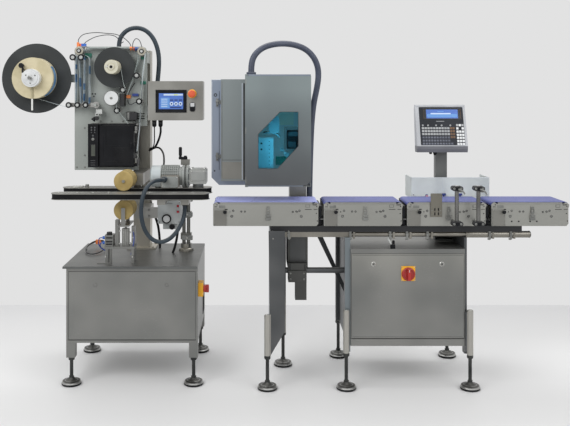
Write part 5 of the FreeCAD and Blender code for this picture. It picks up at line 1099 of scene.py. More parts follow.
# %% Rewind reel and nip wheel
REWIND = REWIND_X, REWIND_Z = -871, 1639
NIP_X, NIP_Z = -884, 1472
core_paper = finish("core_paper", (178, 175, 158), (192, 189, 172), 0.6, cloud=14)
piece("rewind_core_face", [
    face_rings(REWIND, 22, 36.5, -80.5, 5),
    spun(0, (REWIND_X, -80, REWIND_Z), [(0, 0), (17, 0), (17, 3), (15, 5), (8, 5), (8, 4), (0, 4)], 40),
    spun(1, (REWIND_X, -83.4, REWIND_Z), [(0, 0), (8, 0), (8, 3), (6.5, 4.5), (0, 4.5)], 24)],
      [core_paper, black_plastic], "rewind_reel")
nip_parts = [
    spun(0, (NIP_X, -4.0, NIP_Z), [(0, 0), (36, 0), (37.5, 1), (37.5, 2), (0, 2)], 56),
    spun(1, (NIP_X, 8, NIP_Z), [(37, 0), (41.4, 0), (41.4, 10), (40, 12.5), (37, 12.5), (37, 0)], 56),
    spun(1, (NIP_X, -5.4, NIP_Z), [(0, 0), (7, 0), (7, 2.5), (5.5, 4), (0, 4)], 24)]
piece("nip_wheel_cap", nip_parts, [nylon_white, dull_steel], "nip")

# %% [markdown]
# ## Guide rollers
# Each guide roller has a dark rubber flange at the front and a bright screw in its middle. One profile,
# turned about the roller's own axis, gives both.


# %% Roller ends
def roller_end(x, y, z, radius, dark=1, bright=0):
    """A ring with a dished bearing and a cap screw, read from the flange inwards."""
    ring = [(radius - 7, 0), (radius + 0.4, 0), (radius + 0.4, 4), (radius - 0.8, 5.4), (radius - 7, 5.4),
            (radius - 7, 0)]
    dish = [(0, 2.5), (radius - 7, 2.5), (radius - 7, 4.4), (7.5, 3.6), (7, 6.2), (4, 6.6), (3.2, 5), (0, 5)]
    return [spun(dark, (x, y, z), ring, 32), spun(bright, (x, y, z), dish, 32)]


idlers = []
for x, z in ((-1098, 1694), (-1053, 1694), (-750, 1595), (-736, 1454), (-857, 1404), (-825, 1516)):
    idlers += roller_end(x, 19, z, 17)
for x, z in ((-1064, 1730), (-723, 1727)):
    idlers += [spun(2, (x, 25, z), [(0, 0), (23, 0), (24, 1.5), (24, 5), (22, 7), (0, 7)], 40)]
    idlers += roller_end(x, 18, z, 12)
roller_cap = finish("roller_cap", (146, 142, 130), (160, 156, 144), 0.4, metallic=0.5, cloud=14)
piece("idler_ends", idlers, [pale_grey, black_plastic, roller_cap], "root")
dancer_ends = []
for x in (-1119, -1072, -1027):
    dancer_ends += roller_end(x, 15, 1434, 16)
dancer_ends += [screw_head("-Y", (-985, 39.8, 1434), 6, 3, 0)]
piece("dancer_ends", dancer_ends, [pale_grey, black_plastic], "dancer")
print("roller surfaces:", len(idlers) + len(dancer_ends))

# %% [markdown]
# ## Label web
# The printed web leaves the roll, runs in long upright strips between the dancer rollers and the fixed
# rollers, crosses behind the rewind disc and falls into the print engine.

# %% Label web
WEB_LOW, WEB_HIGH = 24, 76
round_top = np.linspace(np.pi, 0, 14)


def over(x, z, radius):
    """Half a turn over a roller: (x + r cos a, z + r sin a) from left to right."""
    return [(x + radius * math.cos(turn), z + radius * math.sin(turn)) for turn in round_top]


lead_in = np.linspace((-1289.6, 1467.4), (-1124, 1418.6), 30)
piece("web_from_roll", [band(lead_in, WEB_LOW, WEB_HIGH - 22)], [web_white], "root")
strips = [
    ((-1083.4, 1694), (-1086.6, 1440)), ((-1057.4, 1440), (-1067.6, 1694)),
    ((-1038.4, 1694), (-1041.6, 1440)), ((-1012.4, 1440), (-1010, 1676))]
web = []
for number, (start, end) in enumerate(strips):
    path = np.linspace(start, end, 60)
    surface = band(path, WEB_LOW, WEB_HIGH)
    height = surface[0][surface[1]].mean(axis=1)[:, 2]
    wave = np.sin(height / 31 + 1.7 * number) + 0.6 * np.sin(height / 13 + number)
    web.append((surface[0], surface[1], np.where(wave > 0.55, 1, 0)))
web_strips = piece("web_strips", web, [web_white, print_blue], None)
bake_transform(web_strips)
cross = over(-1064, 1730, 16.6) + [(-1000, 1746.4), (-880, 1745.4), (-760, 1744.2)] + \
    [(-723 + 16.6 * math.cos(turn), 1727 + 16.6 * math.sin(turn)) for turn in np.linspace(1.5, -0.1, 10)] + \
    [(-708, 1700), (-713, 1660), (-721, 1598), (-728, 1466), (-739, 1296), (-752, 1180)]
upward = [(-739.6, 1727), (-745, 1680), (-767.4, 1600), (-770, 1588), (-788, 1540), (-806, 1490)]
turned = smooth_path([(-1010, 1676), (-1012, 1690), (-1022, 1700), (-1038, 1706), (-1053, 1709)], 16)
piece("web_across", [band(over(-1098, 1694, 14.6), WEB_LOW, WEB_HIGH), band(turned, WEB_LOW, WEB_HIGH),
                     band(over(-1053, 1694, 14.6), WEB_LOW, WEB_HIGH),
                     numbered(band(cross[:20], 30, WEB_HIGH), 0), numbered(band(cross[17:], 30, 70), 0),
                     numbered(band(upward, 30, 70), 1)],
      [web_white, liner_tan], "root")
liner = [(-762, 1290), (-800, 1338), (-845, 1396), (-858, 1419.4)]
liner += [(NIP_X + 41.9 * math.cos(turn), NIP_Z + 41.9 * math.sin(turn)) for turn in np.linspace(-0.9, 0.55,
                                                                                                 12)]
liner += [(-828, 1501.6), (-810.6, 1512), (-811, 1522), (-822, 1560), (-834, 1632)]
piece("backing_web", [band(liner, 4, 34)], [liner_tan], "root")
print("web paths:", len(strips) + 4)

# %% [markdown]
# ## Plate fittings
# Socket screws hold the rails and the engine to the plate. Beside the nip wheel are a black valve block
# with three slots, two small web sensors with wires, a sprung toggle clamp and green adjusters.

# %% Plate fittings
PLATE_FACE = 80.2
plate_fit = []
for x, z in ((-958.6, 1343), (-895.6, 1343), (-833.2, 1343), (-769.7, 1343), (-1045.4, 1306), (-1045.4, 1155),
             (-1045.4, 1089), (-1089, 1089), (-1045.4, 1640)):
    plate_fit.append(screw_head("-Y", (x, PLATE_FACE, z), 5, 2.6, 1))
for turn in (0.5, 2.6, 4.7):
    plate_fit.append(screw_head("-Y", (-994.5 + 9 * math.cos(turn), PLATE_FACE, 1490 + 9 * math.sin(turn)),
                                4, 3, 0))
plate_fit += [
    tile(0, (-787, PLATE_FACE, 1372), 48, 50, 22, 3, 1.2),
    tile(1, (-787, 58.4, 1372), 40, 42, 1.2, 2, 0.4)]
for z in (1359, 1372, 1385):
    plate_fit.append(tile(0, (-733, PLATE_FACE, z), 38, 5, 1.2, 2, 0.4))
plate_fit += [
    tile(2, (-1026, PLATE_FACE, 1706), 40, 26, 6, 4, 1),
    tile(2, (-722, PLATE_FACE, 1692), 26, 16, 6, 4, 1),
    tile(2, (-722, PLATE_FACE, 1556), 30, 18, 8, 4, 1),
    tile(3, (-802, PLATE_FACE, 1479), 24, 18, 12, 3, 1),
    tile(4, (-764, PLATE_FACE, 1489), 34, 15, 12, 3, 1),
    tile(3, (-1077, 62, 1764), 13, 28, 10, 3, 1),
    tile(3, (-786, 62, 1744), 14, 20, 10, 3, 1)]
piece("plate_fittings", plate_fit, [black_plastic, dull_steel, patch_green, loop_orange, sensor_blue], "root")
clamp = [
    tile(1, (-956, 30, 1397.5), 34, 24, 6, 2, 1),
    bent_rod(1, [(-958, 34, 1398), (-966, 32, 1382), (-980, 31, 1362)], 12, 7, 12),
    tile(1, (-966, 26, 1382), 18, 18, 6, 3, 1),
    spun(0, (-966, 20, 1382), [(0, 0), (4, 0), (4, 2), (0, 2)], 16),
    bent_rod(0, [(-976, 32, 1368), (-984, 32, 1358), (-990, 32, 1350)], 12, np.linspace(8, 13, 12), 14)]
piece("toggle_clamp", clamp, [black_plastic, pale_grey], "root")

# %% [markdown]
# Thin sensor wires rise in loops over the plate. Each is a tube along a smooth line through a few points.

# %% Sensor wires
wires = [
    [(-1075, 57, 1770), (-1073, 57, 1796), (-1046, 60, 1822), (-985, 64, 1832), (-920, 68, 1828),
     (-872, 70, 1823), (-831, 70, 1805), (-800, 66, 1779), (-786, 62, 1756)],
    [(-1048, 62, 1766), (-1030, 64, 1784), (-985, 70, 1808), (-925, 76, 1820), (-880, 82, 1814),
     (-856, 88, 1790), (-846, 96, 1752)],
    [(-864, 88, 1746), (-856, 90, 1762), (-844, 92, 1776), (-832, 94, 1784)],
    [(-778, 62, 1748), (-776, 64, 1776), (-762, 66, 1798), (-744, 68, 1792), (-733, 70, 1770),
     (-730, 74, 1748)],
    [(-806, 64, 1462), (-800, 60, 1442), (-786, 60, 1436), (-770, 62, 1444), (-752, 66, 1452)],
    [(-808, 70, 1480), (-798, 74, 1505), (-784, 76, 1530), (-768, 76, 1556)]]
wire_surfaces = [bent_rod(0, path, 44, 2.1, 8, (0.02, 1, 0.01)) for path in wires]
piece("sensor_wires", wire_surfaces, [wire_black], "root")
print("wires:", len(wires))

# %% [markdown]
# ## Print engine
# A black control strip with a small display, round keys and lamps runs down the left. The lid has a
# recessed panel and a latch, and fine louvres below. At the right, small bright guides lead the label out.

# %% Print engine
ENGINE_FACE = -39.8
engine = [
    tile(2, (-974.5, -39.6, 1190.6), 25, 64, 2, 2, 0.6),
    tile(5, (-974.5, -41.2, 1190.6), 20, 58, 1, 1, 0.3)]
for z, size in ((1313, 4.2), (1300, 4.2), (1287, 3.2)):
    for x in (-984, -966):
        engine.append(spun(1, (x, ENGINE_FACE, z), [(0, 0), (size, 0), (size, 1.6), (size - 1, 2.6),
                                                    (0, 2.6)], 20))
engine.append(spun(4, (-976, ENGINE_FACE, 1251), [(0, 0), (8, 0), (8, 2), (6, 3.4), (0, 3.4)], 28))
engine.append(spun(1, (-976, ENGINE_FACE, 1270), [(0, 0), (5, 0), (5, 1.6), (0, 2.4)], 20))
for z in (1136, 1124, 1112):
    engine.append(tile(1, (-976, ENGINE_FACE, z), 26, 3, 1.4, 1, 0.4))
display_olive = finish("display_olive", (60, 64, 58), (70, 74, 66), 0.3, cloud=20)
piece("engine_controls", engine,
      [black_plastic, dark_gear, black_gloss, pale_grey, dull_steel, display_olive], "root")
lid = [tile(0, (-846, -40.2, 1130), 130, 1.6, 1.2, 0.6, 0.3)]
for z in np.linspace(1122, 1206, 15):
    lid.append(tile(0, (-820, ENGINE_FACE, z), 90, 2.2, 1.4, 0.8, 0.4, 3))
lid += [
    tile(0, (-922, ENGINE_FACE, 1216), 7, 120, 1.6, 2, 0.6),
    tile(0, (-772, ENGINE_FACE, 1216), 12, 30, 5, 3, 1.4)]
piece("lid_details", lid, [black_plastic], "engine_cover")
peel = [
    tile(0, (-747, -24.6, 1134), 12, 26, 5, 2, 1),
    tile(0, (-747, -24.6, 1308), 12, 22, 5, 2, 1),
    bent_rod(0, [(-743, -20, 1172), (-737, -24, 1152), (-748, -26, 1132), (-757, -24, 1118)], 18, 3.4, 10),
    rod(0, [(-742, 20, 1330), (-742, 0, 1330), (-742, -20, 1330)], 5, 14),
    spun(0, (-748, -25, 1290), [(0, 0), (7, 0), (7, 4), (0, 4)], 20),
    tile(1, (-750, -24, 1204), 8, 60, 4, 2, 1)]
piece("peel_guides", peel, [dull_steel, black_plastic], "root")
print("engine dressed")

# %% [markdown]
# ## Conveyor sides
# The four conveyors share one pattern: a screwed drive cover on the left with a dark gap over it, a spring
# latch in the middle, a row of screws, a small window and a dark end block. One function makes them all.

# %% Conveyor sides
BED_FACE, LATCH_FACE = -264.8, -268.6
LINE_BEDS = [("one", -319, 221), ("two", 245, 648), ("three", 669, 1073), ("four", 1099, 1495)]
bed_finish = finish("bed_steel", (150, 150, 145), (160, 160, 155), 0.4, metallic=0.8,
                    stretch=GRIND_ALONG, grain_rough=0.16, bump=0.0001, cloud=2.0, scuff=0.15)
dress(bed_finish, *[f"conveyor_{number}_bed" for number in range(1, 5)])
cover_steel = finish("cover_steel", (124, 123, 118), (134, 133, 128), 0.42, metallic=0.8,
                     stretch=GRIND_ALONG, cloud=5, scuff=0.2)


def conveyor_side(left, right):
    """Screws, cover, latch, window and end block of one conveyor, from its two ends."""
    parts = [
        tile(3, (left + 37, -267.8, 863), 64, 78, 1.6, 2, 0.6),
        tile(2, (left + 38, BED_FACE, 907), 72, 4.5, 3, 1.5, 0.6),
        tile(1, (left + 46, BED_FACE, 921), 32, 13, 1.6, 1.5, 0.5),
        tile(2, (left + 14, BED_FACE, 920), 14, 3, 1.4, 1, 0.4),
        spun(2, (left + 61, -275.6, 895), [(0, 0), (8.8, 0), (9.6, 2), (9.6, 6), (7, 9), (3, 8), (0, 8)],
             24)]
    for x, z in ((left + 8, 829), (left + 66, 829), (left + 66, 876)):
        parts.append(screw_head("-Y", (x, -269.2, z), 3, 1.6, 1))
    for x, z, size in ((left + 103, 900, 4), (left + 144, 896, 3.4), (left + 162, 896, 3.4),
                       (left + 95, 872, 5.4), (right - 134, 894, 3.4), (right - 116, 896, 3.4),
                       (right - 100, 900, 4), (right - 91, 872, 5.4)):
        parts.append(screw_head("-Y", (x, BED_FACE, z), size, 2.2, 1))
        parts.append(spun(2, (x, BED_FACE - 0.1, z), [(size, 0), (size + 1.6, 0), (size + 1.4, 0.8),
                                                      (size, 0.8), (size, 0)], 20))
    middle = (left + right) / 2 + 10
    parts += [
        tile(1, (middle, LATCH_FACE, 860), 27, 15, 4, 2, 1),
        tile(1, (middle, LATCH_FACE, 876), 25, 11, 6, 2, 1),
        tile(1, (middle, LATCH_FACE, 890), 17, 12, 4.5, 5, 1),
        tile(1, (middle, LATCH_FACE, 914), 14, 15, 3, 2, 1),
        bent_rod(1, [(middle - 6, -272, 884), (middle - 7, -273, 898), (middle - 4, -272.5, 912),
                     (middle + 4, -272.5, 912), (middle + 7, -273, 898), (middle + 6, -272, 884)], 26, 1.5,
                 8, (0, 1, 0.01)),
        tile(2, (middle, BED_FACE, 868), 31, 2, 1.4, 1, 0.4)]
    slot_x = right - 58
    parts += [
        tile(1, (slot_x, BED_FACE, 924), 24, 15, 1.2, 2, 0.4),
        tile(0, (slot_x, -265.8, 924), 17, 9, 0.8, 1, 0.3),
        tile(2, (slot_x + 3, BED_FACE, 907), 34, 2.6, 1.2, 1, 0.4),
        tile(2, (right - 22, BED_FACE, 930), 22, 4, 1.4, 1, 0.4),
        tile(2, (right - 18, BED_FACE, 907), 20, 2.4, 1.4, 1, 0.4)]
    for x, z in ((right - 14, 886), (right - 9, 848), (right - 12, 922), (left + 20, 930)):
        parts.append(screw_head("-Y", (x, BED_FACE, z), 2.8, 1.6, 2))
    parts.append(tile(1, ((left + right) / 2, -264.9, 934.6), right - left - 60, 1.6, 1, 0.6, 0.3))
    return parts


for name, left, right in LINE_BEDS:
    parts = conveyor_side(left, right)
    if name == "four":
        for x in (1202, 1238, 1296, 1330):
            parts.append(screw_head("-Y", (x, BED_FACE, 846), 4, 2.2, 2))
    else:
        parts += [
            block(2, "Z", (right + 5, -150, 862), 16, 214, 62, 3, 1.5),
            block(2, "Z", (right + 2, -150, 826), 20, 206, 24, 3, 1.5)]
    piece(f"conveyor_{name}_fittings", parts, [bed_finish, dull_steel, black_plastic, cover_steel], "root")
print("conveyors dressed:", len(LINE_BEDS))

# %% [markdown]
# A belt is a closed fabric loop with a welded joint. A raised hem along each side and one slanting joint
# line show on the top run.

# %% Belt hems and joints
hem = []
for name, left, right in LINE_BEDS:
    for y in (-252.6, -47.4):
        hem.append(block(0, "Z", ((left + right) / 2, y, 943.8), right - left - 34, 3.4, 0.7, 1.4, 0.3))
    joint = np.array([(left + 0.36 * (right - left) + 34 * share, -250 + 200 * share, 944.1)
                      for share in np.linspace(0, 1, 14)])
    hem.append(rod(0, joint, 0.5, 6))
piece("belt_hems", hem, [belt_blue], "root")

# %% [markdown]
# ## Console
# The keypad sits on a sloping dark panel. A frame whose first side runs along X, second up the slope and
# third straight out of it lets the same rounded block make every key. Keys carry no letters.

# %% Console panel
FACE_BACK, FACE_RISE = 71, 221
SLOPE = math.hypot(FACE_BACK, FACE_RISE)
AXIS_FRAMES["FACE"] = ((1, 0, 0), (0, FACE_BACK / SLOPE, FACE_RISE / SLOPE),
                       (0, -FACE_RISE / SLOPE, FACE_BACK / SLOPE))
PANEL_EDGE_Y, PANEL_EDGE_Z = -40, 1214


def on_face(x, up, out=0.0):
    """Point = bottom edge + up the slope + out of the panel."""
    return (x, PANEL_EDGE_Y + up * FACE_BACK / SLOPE - out * FACE_RISE / SLOPE,
            PANEL_EDGE_Z + up * FACE_RISE / SLOPE + out * FACE_BACK / SLOPE)


def key(number, x, up, out, *shape):
    """A rounded block on the panel, with its finish number."""
    return block(number, "FACE", on_face(x, up, out), *shape)


panel_dark = finish("panel_dark", (30, 33, 39), (38, 41, 47), 0.4, grain=1200, cloud=9, scuff=0.1,
                    specular=0.25)
key_light = finish("key_light", (146, 148, 150), (160, 162, 164), 0.5, grain=1200, cloud=20)
key_white = finish("key_white", (208, 210, 212), (218, 220, 221), 0.5, grain=1200, cloud=20)
key_dark = finish("key_dark", (74, 78, 90), (86, 90, 102), 0.5, grain=1200, cloud=20)
key_brown = finish("key_brown", (96, 70, 48), (108, 80, 56), 0.5, grain=1200, cloud=20)
face_finishes = [panel_dark, key_light, key_white, key_dark, key_brown, black_gloss, console_grey]
keys = [key(0, 907.5, 112, -0.4, 239, 214, 1.8, 4, 0.6), key(5, 912, 180, 1.2, 200, 62, 1.0, 3, 0.4)]
for x in (804, 832, 876, 906, 953):
    keys.append(spun(1, on_face(x, 115, 1.2), [(0, 0), (5, 0), (5, 1.6), (4, 2.4), (0, 2.4)], 20))
for row in (99, 82.5, 66):
    for column in range(10):
        keys.append(key(1, 804 + 15.2 * column, row, 1.2, 13, 11.5, 1.6, 1.5, 0.5, 3))
for row in (47, 30, 13):
    for column in range(10 if row > 20 else 11):
        keys.append(key(3, 804 + 15.2 * column, row, 1.2, 12.4, 11.5, 1.6, 1.5, 0.5, 3))
        keys.append(key(1, 804 + 15.2 * column, row + 1.5, 2.7, 4, 1.2, 0.3, 0.4, 0.1, 2))
for row in (99, 82.5, 66, 49.5):
    for column in range(2):
        keys.append(key(4, 956 + 13.5 * column, row, 1.2, 11.5, 12, 1.6, 1.5, 0.5, 3))
for row in (116, 98, 80, 62, 45.5, 28, 11):
    for column in range(3):
        if row == 98 and column == 1:
            continue
        keys.append(key(2 if row != 116 or column == 1 else 1, 990 + 14.5 * column, row, 1.2, 12, 12.5, 1.6,
                        1.5, 0.5, 3))
keys += [
    key(1, 900, 138, 1.2, 44, 3, 0.6, 1, 0.2, 3),
    key(4, 812, 180, 1.2, 1.6, 60, 0.6, 0.6, 0.2, 3),
    key(4, 1014, 180, 1.2, 1.6, 60, 0.6, 0.6, 0.2, 3)]
piece("console_keys", keys, face_finishes, "console")
screen = [
    key(0, 912.5, 179.5, 2.0, 172, 50, 0.6, 1, 0.2),
    key(1, 912.5, 170, 2.4, 166, 20, 0.5, 8, 0.2),
    key(2, 905, 181, 2.6, 110, 7, 0.5, 3, 0.2),
    key(1, 905, 193, 2.4, 36, 4, 0.5, 2, 0.2)]
screen_mid = lit("screen_mid", (92, 138, 196), 0.12)
piece("console_screen", screen, [screen_blue, screen_mid, screen_pale], "console")
rim = [key(0, 905, 226, -0.6, 262, 7, 2.4, 3, 1)]
for x in (784, 1025):
    for z in (1300, 1390):
        rim.append(screw_head("Y", (x, 39.3 + (z - 1300) * 0.161, z), 4, 2.4, 1))
rim += [
    block(0, "Y", (904, 34, 1316), 150, 86, 22, 6, 2),
    wheel(2, "-Z", (870, -8, 1181), [(0, 0), (11, 0), (11, 8), (8, 12), (8, 18), (0, 18)], 24),
    wheel(2, "-Z", (846, -8, 1181), [(0, 0), (8, 0), (8, 8), (6, 12), (0, 12)], 24)]
piece("console_back", rim, [console_grey, dull_steel, black_plastic], "console")
print("keys:", len(keys))

# %% [markdown]
# ## Labeler hood
# The hood is bent sheet: a thin frame holds the tinted window, pale strips on the folded edges are painted
# highlights, two latches and a long hinge run down the left, and a seam crosses the lower part of the side
# shell.

# %% Hood fittings
def frame_strip(points, low_y, high_y, width):
    """A flat frame round a closed outline: each corner repeated at the width outwards, on two levels."""
    line = np.array(points, float)
    centre = line.mean(axis=0)
    outward = line - centre
    outward /= np.linalg.norm(outward, axis=1, keepdims=True)
    outer = line + outward * width
    levels = [(line, high_y), (line, low_y), (outer, low_y), (outer, high_y), (line, high_y)]
    rings = [np.stack([flat[:, 0], np.full(len(flat), float(y)), flat[:, 1]], axis=1) for flat, y in levels]
    return np.concatenate(rings), grid_faces(5, len(line), True)


WINDOW = [(21, 1403), (113, 1403), (113, 1231), (9, 1118), (-88, 1118), (-88, 1291)]
door_fit = [numbered(frame_strip(WINDOW, -290.5, -286, 2.2), 1)]
for z in (1060, 1309, 1558):
    door_fit.append(wheel(0, "Z", (-152, -286, z - 16), [(0, 0), (4.4, 0), (4.4, 32), (0, 32)], 18))
piece("hood_door_fittings", door_fit, [dull_steel, seam_dark], "labeler_door")
hood_fit = [
    tile(1, (-206, -189.6, 1152), 146, 2, 1.2, 1, 0.4),
    tile(5, (-217, -189.6, 1098), 118, 88, 1.4, 3, 0.5),
    tile(0, (-277, -190.6, 1310), 3, 500, 2, 1, 0.5),
    tile(1, (-161, -189.8, 1300), 9, 500, 2, 1, 0.5),
    tile(4, (-171, -189.8, 1300), 5, 500, 2, 1, 0.5)]
for z in (1449, 1161):
    hood_fit += [
        tile(0, (-305, -99.6, z), 12, 44, 4, 2, 1),
        tile(0, (-305, -103, z + 6), 17, 12, 7, 3, 1),
        tile(0, (-293, -90.4, z + 2), 14, 22, 6, 3, 1),
        screw_head("-Y", (-305, -103.6, z - 14), 3, 1.6, 1)]
hood_fit += [
    spun(1, (-315, -90.2, 1489), [(5, 0), (9, 0), (9, 1.8), (5, 1.8), (5, 0)], 28),
    screw_head("-Y", (-320, -90.2, 1086), 4, 2.4, 1),
    tile(1, (-295, -90.2, 1300), 2.4, 420, 1.4, 1, 0.5),
    block(0, "Z", (-125, -40, 1571), 66, 62, 5, 8, 1.6),
    wheel(3, "Z", (-125, -40, 1576), [(0, 0), (30, 0), (30, 12), (27, 15), (0, 15)], 6),
    wheel(3, "Z", (-125, -40, 1598), [(24, 0), (26, 2), (26, 12), (23, 14), (20, 14), (20, 0), (24, 0)],
          40)]
for x in (90, 150):
    for z in (1180, 1300, 1420):
        hood_fit.append(screw_head("Y", (x + 6, 9.8, z), 5, 3, 0))
# Painted highlight: pale strips laid along the hood's folded edges.
shell_edge_highlight = finish("shell_edge_highlight", (176, 184, 196), (188, 196, 206), 0.3, metallic=0.8, cloud=6)
hood_fit += [
    tile(4, (-333, -89.8, 1320), 4, 480, 1.4, 1, 0.5),
    tile(4, (-309, -89.8, 1569), 52, 3, 1.4, 1, 0.5),
    tile(2, (18, -267.8, 1588.5), 316, 11, 1.4, 1, 0.4),
    tile(2, (0, -267.8, 1029.5), 280, 11, 1.4, 1, 0.4)]
piece("hood_fittings", hood_fit, [dull_steel, seam_dark, shell_steel, hose_dark, shell_edge_highlight, cover_steel],
      "root")
vents = [block(0, "Y", (x, 9.8, z), 5, 60, 2.4, 2, 0.8, 3) for x in range(-280, -100, 16) for z in (1140,
                                                                                                    1440)]
piece("hood_back_louvres", vents, [shell_steel], "root")

# %% [markdown]
# Behind the window the mechanism is pale and busy: a guide plate with a row of holes, small bright rollers,
# an arm, and a print head in a black holder. It shows cyan through the tinted pane.

# %% Mechanism details
mech = [
    tile(0, (-50, -219.8, 1190), 76, 150, 2, 3, 0.8),
    tile(1, (95, -239.8, 1262), 76, 96, 3, 4, 1),
    tile(2, (95, -243, 1290), 60, 22, 6, 4, 1),
    tile(2, (84, -243, 1236), 40, 30, 4, 4, 1),
    tile(5, (30, -196, 1150), 56, 44, 8, 4, 1),
    bent_rod(3, [(-60, -200, 1292), (-30, -206, 1296), (4, -206, 1286), (22, -204, 1270)], 20,
             np.linspace(9, 6, 20), 12)]
for z in np.linspace(1130, 1250, 7):
    mech.append(spun(2, (-32, -221.6, z), [(0, 0), (2.6, 0), (2.2, 0.8), (0, 0.8)], 14))
for x, z in ((-72, 1240), (-72, 1210)):
    mech.append(screw_head("-Y", (x, -221.6, z), 5, 2.4, 2))
for x, z, radius in ((12, 1300, 16), (-40, 1345, 13), (60, 1180, 14), (-60, 1180, 12), (36, 1206, 10)):
    mech.append(spun(4, (x, -184, z), [(0, 0), (radius, 0), (radius, 14), (radius - 3, 17),
                                       (radius * 0.4, 17), (radius * 0.4, 14), (0, 14)], 32))
mech += [
    spun(4, (20, -137.6, 1420), [(0, 0), (26, 0), (26, 5), (22, 7), (8, 7), (8, 4), (0, 4)], 40),
    spun(0, (20, -137.8, 1420), [(38, 0), (69, 0), (69, 0.8), (38, 0.8), (38, 0)], 56),
    tile(4, (-8, -224, 1338), 56, 96, 4, 26, 1.4),
    numbered(band([(-48, 1408), (-52, 1380), (-53, 1346)], -134, -96), 0),
    numbered(band([(-27, 1342), (-10, 1318), (0, 1300), (30, 1290)], -134, -96), 0)]
guide_white = finish("guide_white", (226, 228, 228), (236, 237, 237), 0.5, cloud=14)
mech_finishes = [guide_white, black_plastic, dark_gear, bright_steel, nylon_white, patch_green]
piece("mechanism_details", mech, mech_finishes, "root")
print("hood dressed")

# %% [markdown]
# ## Line cabinet and stand
# Quarter-turn locks, a rotary isolator with a red grip, clamp bolts on the rails, and bright lower leg
# sleeves with lock nuts. Hexagons are lathes with six steps.


# %% Locks and isolators
def quarter_lock(x, y, z, number=0, dark=1):
    """A raised ring with a sunk square key in its middle."""
    ring = [(9.6, 0), (12.5, 0), (12.5, 2), (11, 3.4), (9.6, 3.4), (9.6, 0)]
    return [spun(number, (x, y, z), ring, 36),
            spun(number, (x, y, z), [(0, 0.6), (9.8, 0.6), (9.8, 2.2), (0, 2.2)], 32),
            tile(dark, (x, y - 2, z), 6.5, 6.5, 2, 0.8, 0.4, 3)]


def hexagon(axis, centre, radius, height, number=0):
    """A lathe with six steps, drawn in at both ends."""
    profile = [(0, 0), (radius * 0.94, 0), (radius, height * 0.14), (radius, height * 0.86),
               (radius * 0.94, height), (0, height)]
    return wheel(number, axis, centre, profile, 6)


LINE_DOOR_FACE = -280.2
KNOB_X, KNOB_Z = 672, 582
line_door_fit = quarter_lock(496, LINE_DOOR_FACE, 632) + quarter_lock(843, LINE_DOOR_FACE, 632)
for x in (641, 703):
    for z in (551.5, 616.5):
        line_door_fit.append(screw_head("-Y", (x, -284, z), 2.6, 1.4, 0))
line_door_fit += [
    spun(2, (KNOB_X, -283.8, KNOB_Z), [(0, 0), (34, 0), (34, 2.4), (32, 4), (0, 4)], 48),
    tile(1, (670, -279.8, 262), 560, 1.4, 1, 0.6, 0.3),
    tile(1, (670, -279.8, 676.5), 560, 1.4, 1, 0.6, 0.3)]
piece("line_door_fittings", line_door_fit, [bright_steel, seam_dark, switch_red], "line_door")
knob = [
    tile(0, (KNOB_X, -313.6, KNOB_Z), 13, 56, 2.4, 5, 1),
    tile(1, (KNOB_X, -315.6, 603), 3, 12, 0.8, 1, 0.3),
    spun(0, (KNOB_X, -293.8, KNOB_Z), [(27, 0), (31.5, 0), (31.5, 1.6), (30, 2.6), (27, 2.6), (27, 0)],
                   48)]
for turn in np.linspace(0, 2 * np.pi, 18, endpoint=False):
    knob.append(tile(0, (KNOB_X + 33 * math.cos(turn), -284.6, KNOB_Z + 33 * math.sin(turn)),
                              3, 3, 8, 1.4, 0.6, 3))
piece("line_knob_grip", knob, [switch_red, nylon_white], "line_isolator")

# %% Stand fittings
stand = []
for x in (-14, 62, 376, 579, 665, 770, 1087, 1195):
    stand += [hexagon("-Y", (x + 5, -258.6, 778), 8.5, 6, 0),
              tile(0, (x + 5, -258.8, 774), 13, 40, 3, 2, 1),
              hexagon("-Z", (x + 5, -246, 756), 7.5, 7, 0)]
for x, z in ((-14, 762), (72, 762), (-18, 794), (66, 794)):
    stand.append(screw_head("-Y", (x, -290 if z < 790 and x < 30 else -256, z), 4.5, 2.6, 0))
for x in (80, 150):
    for z in (530, 560):
        stand.append(screw_head("-Y", (x, -169.8, z), 6, 4, 0))
for x in (78, 156):
    stand.append(tile(1, (x, -161.8, 592), 6, 30, 3, 1, 0.6))
stand += [tile(3, (120, -123.8, 668), 84, 150, 2, 2, 0.8),
          tile(1, (120, -125.6, 596), 96, 8, 3, 2, 0.8),
          tile(1, (120, -125.6, 604), 96, 4, 2, 1, 0.6)]
piece("stand_fittings", stand, [dull_steel, seam_dark, foot_steel, steel_dark], "root")

# %% [markdown]
# The support over the cabinet carries a small lever clamp, and the stay behind it shows as a dark bracket.

# %% Under-rail clamp
lever = [
    bent_rod(0, [(574, -252, 762), (582, -258, 744), (590, -262, 726), (594, -264, 716)], 16,
             np.linspace(6, 4.5, 16), 12),
    tile(1, (596, -258, 716), 24, 28, 16, 4, 2),
    tile(1, (600, -258, 738), 12, 22, 10, 3, 1),
    block(0, "Z", (579, -248, 744), 16, 16, 16, 3, 1)]
piece("rail_lever", lever, [pale_grey, black_plastic], "root")

# %% [markdown]
# ## Weighing lane
# Two bright posts carry black oval clamps with lever handles. The milky guards are screwed to the bed and
# meet in one seam, and two small light sensors look across the lane.

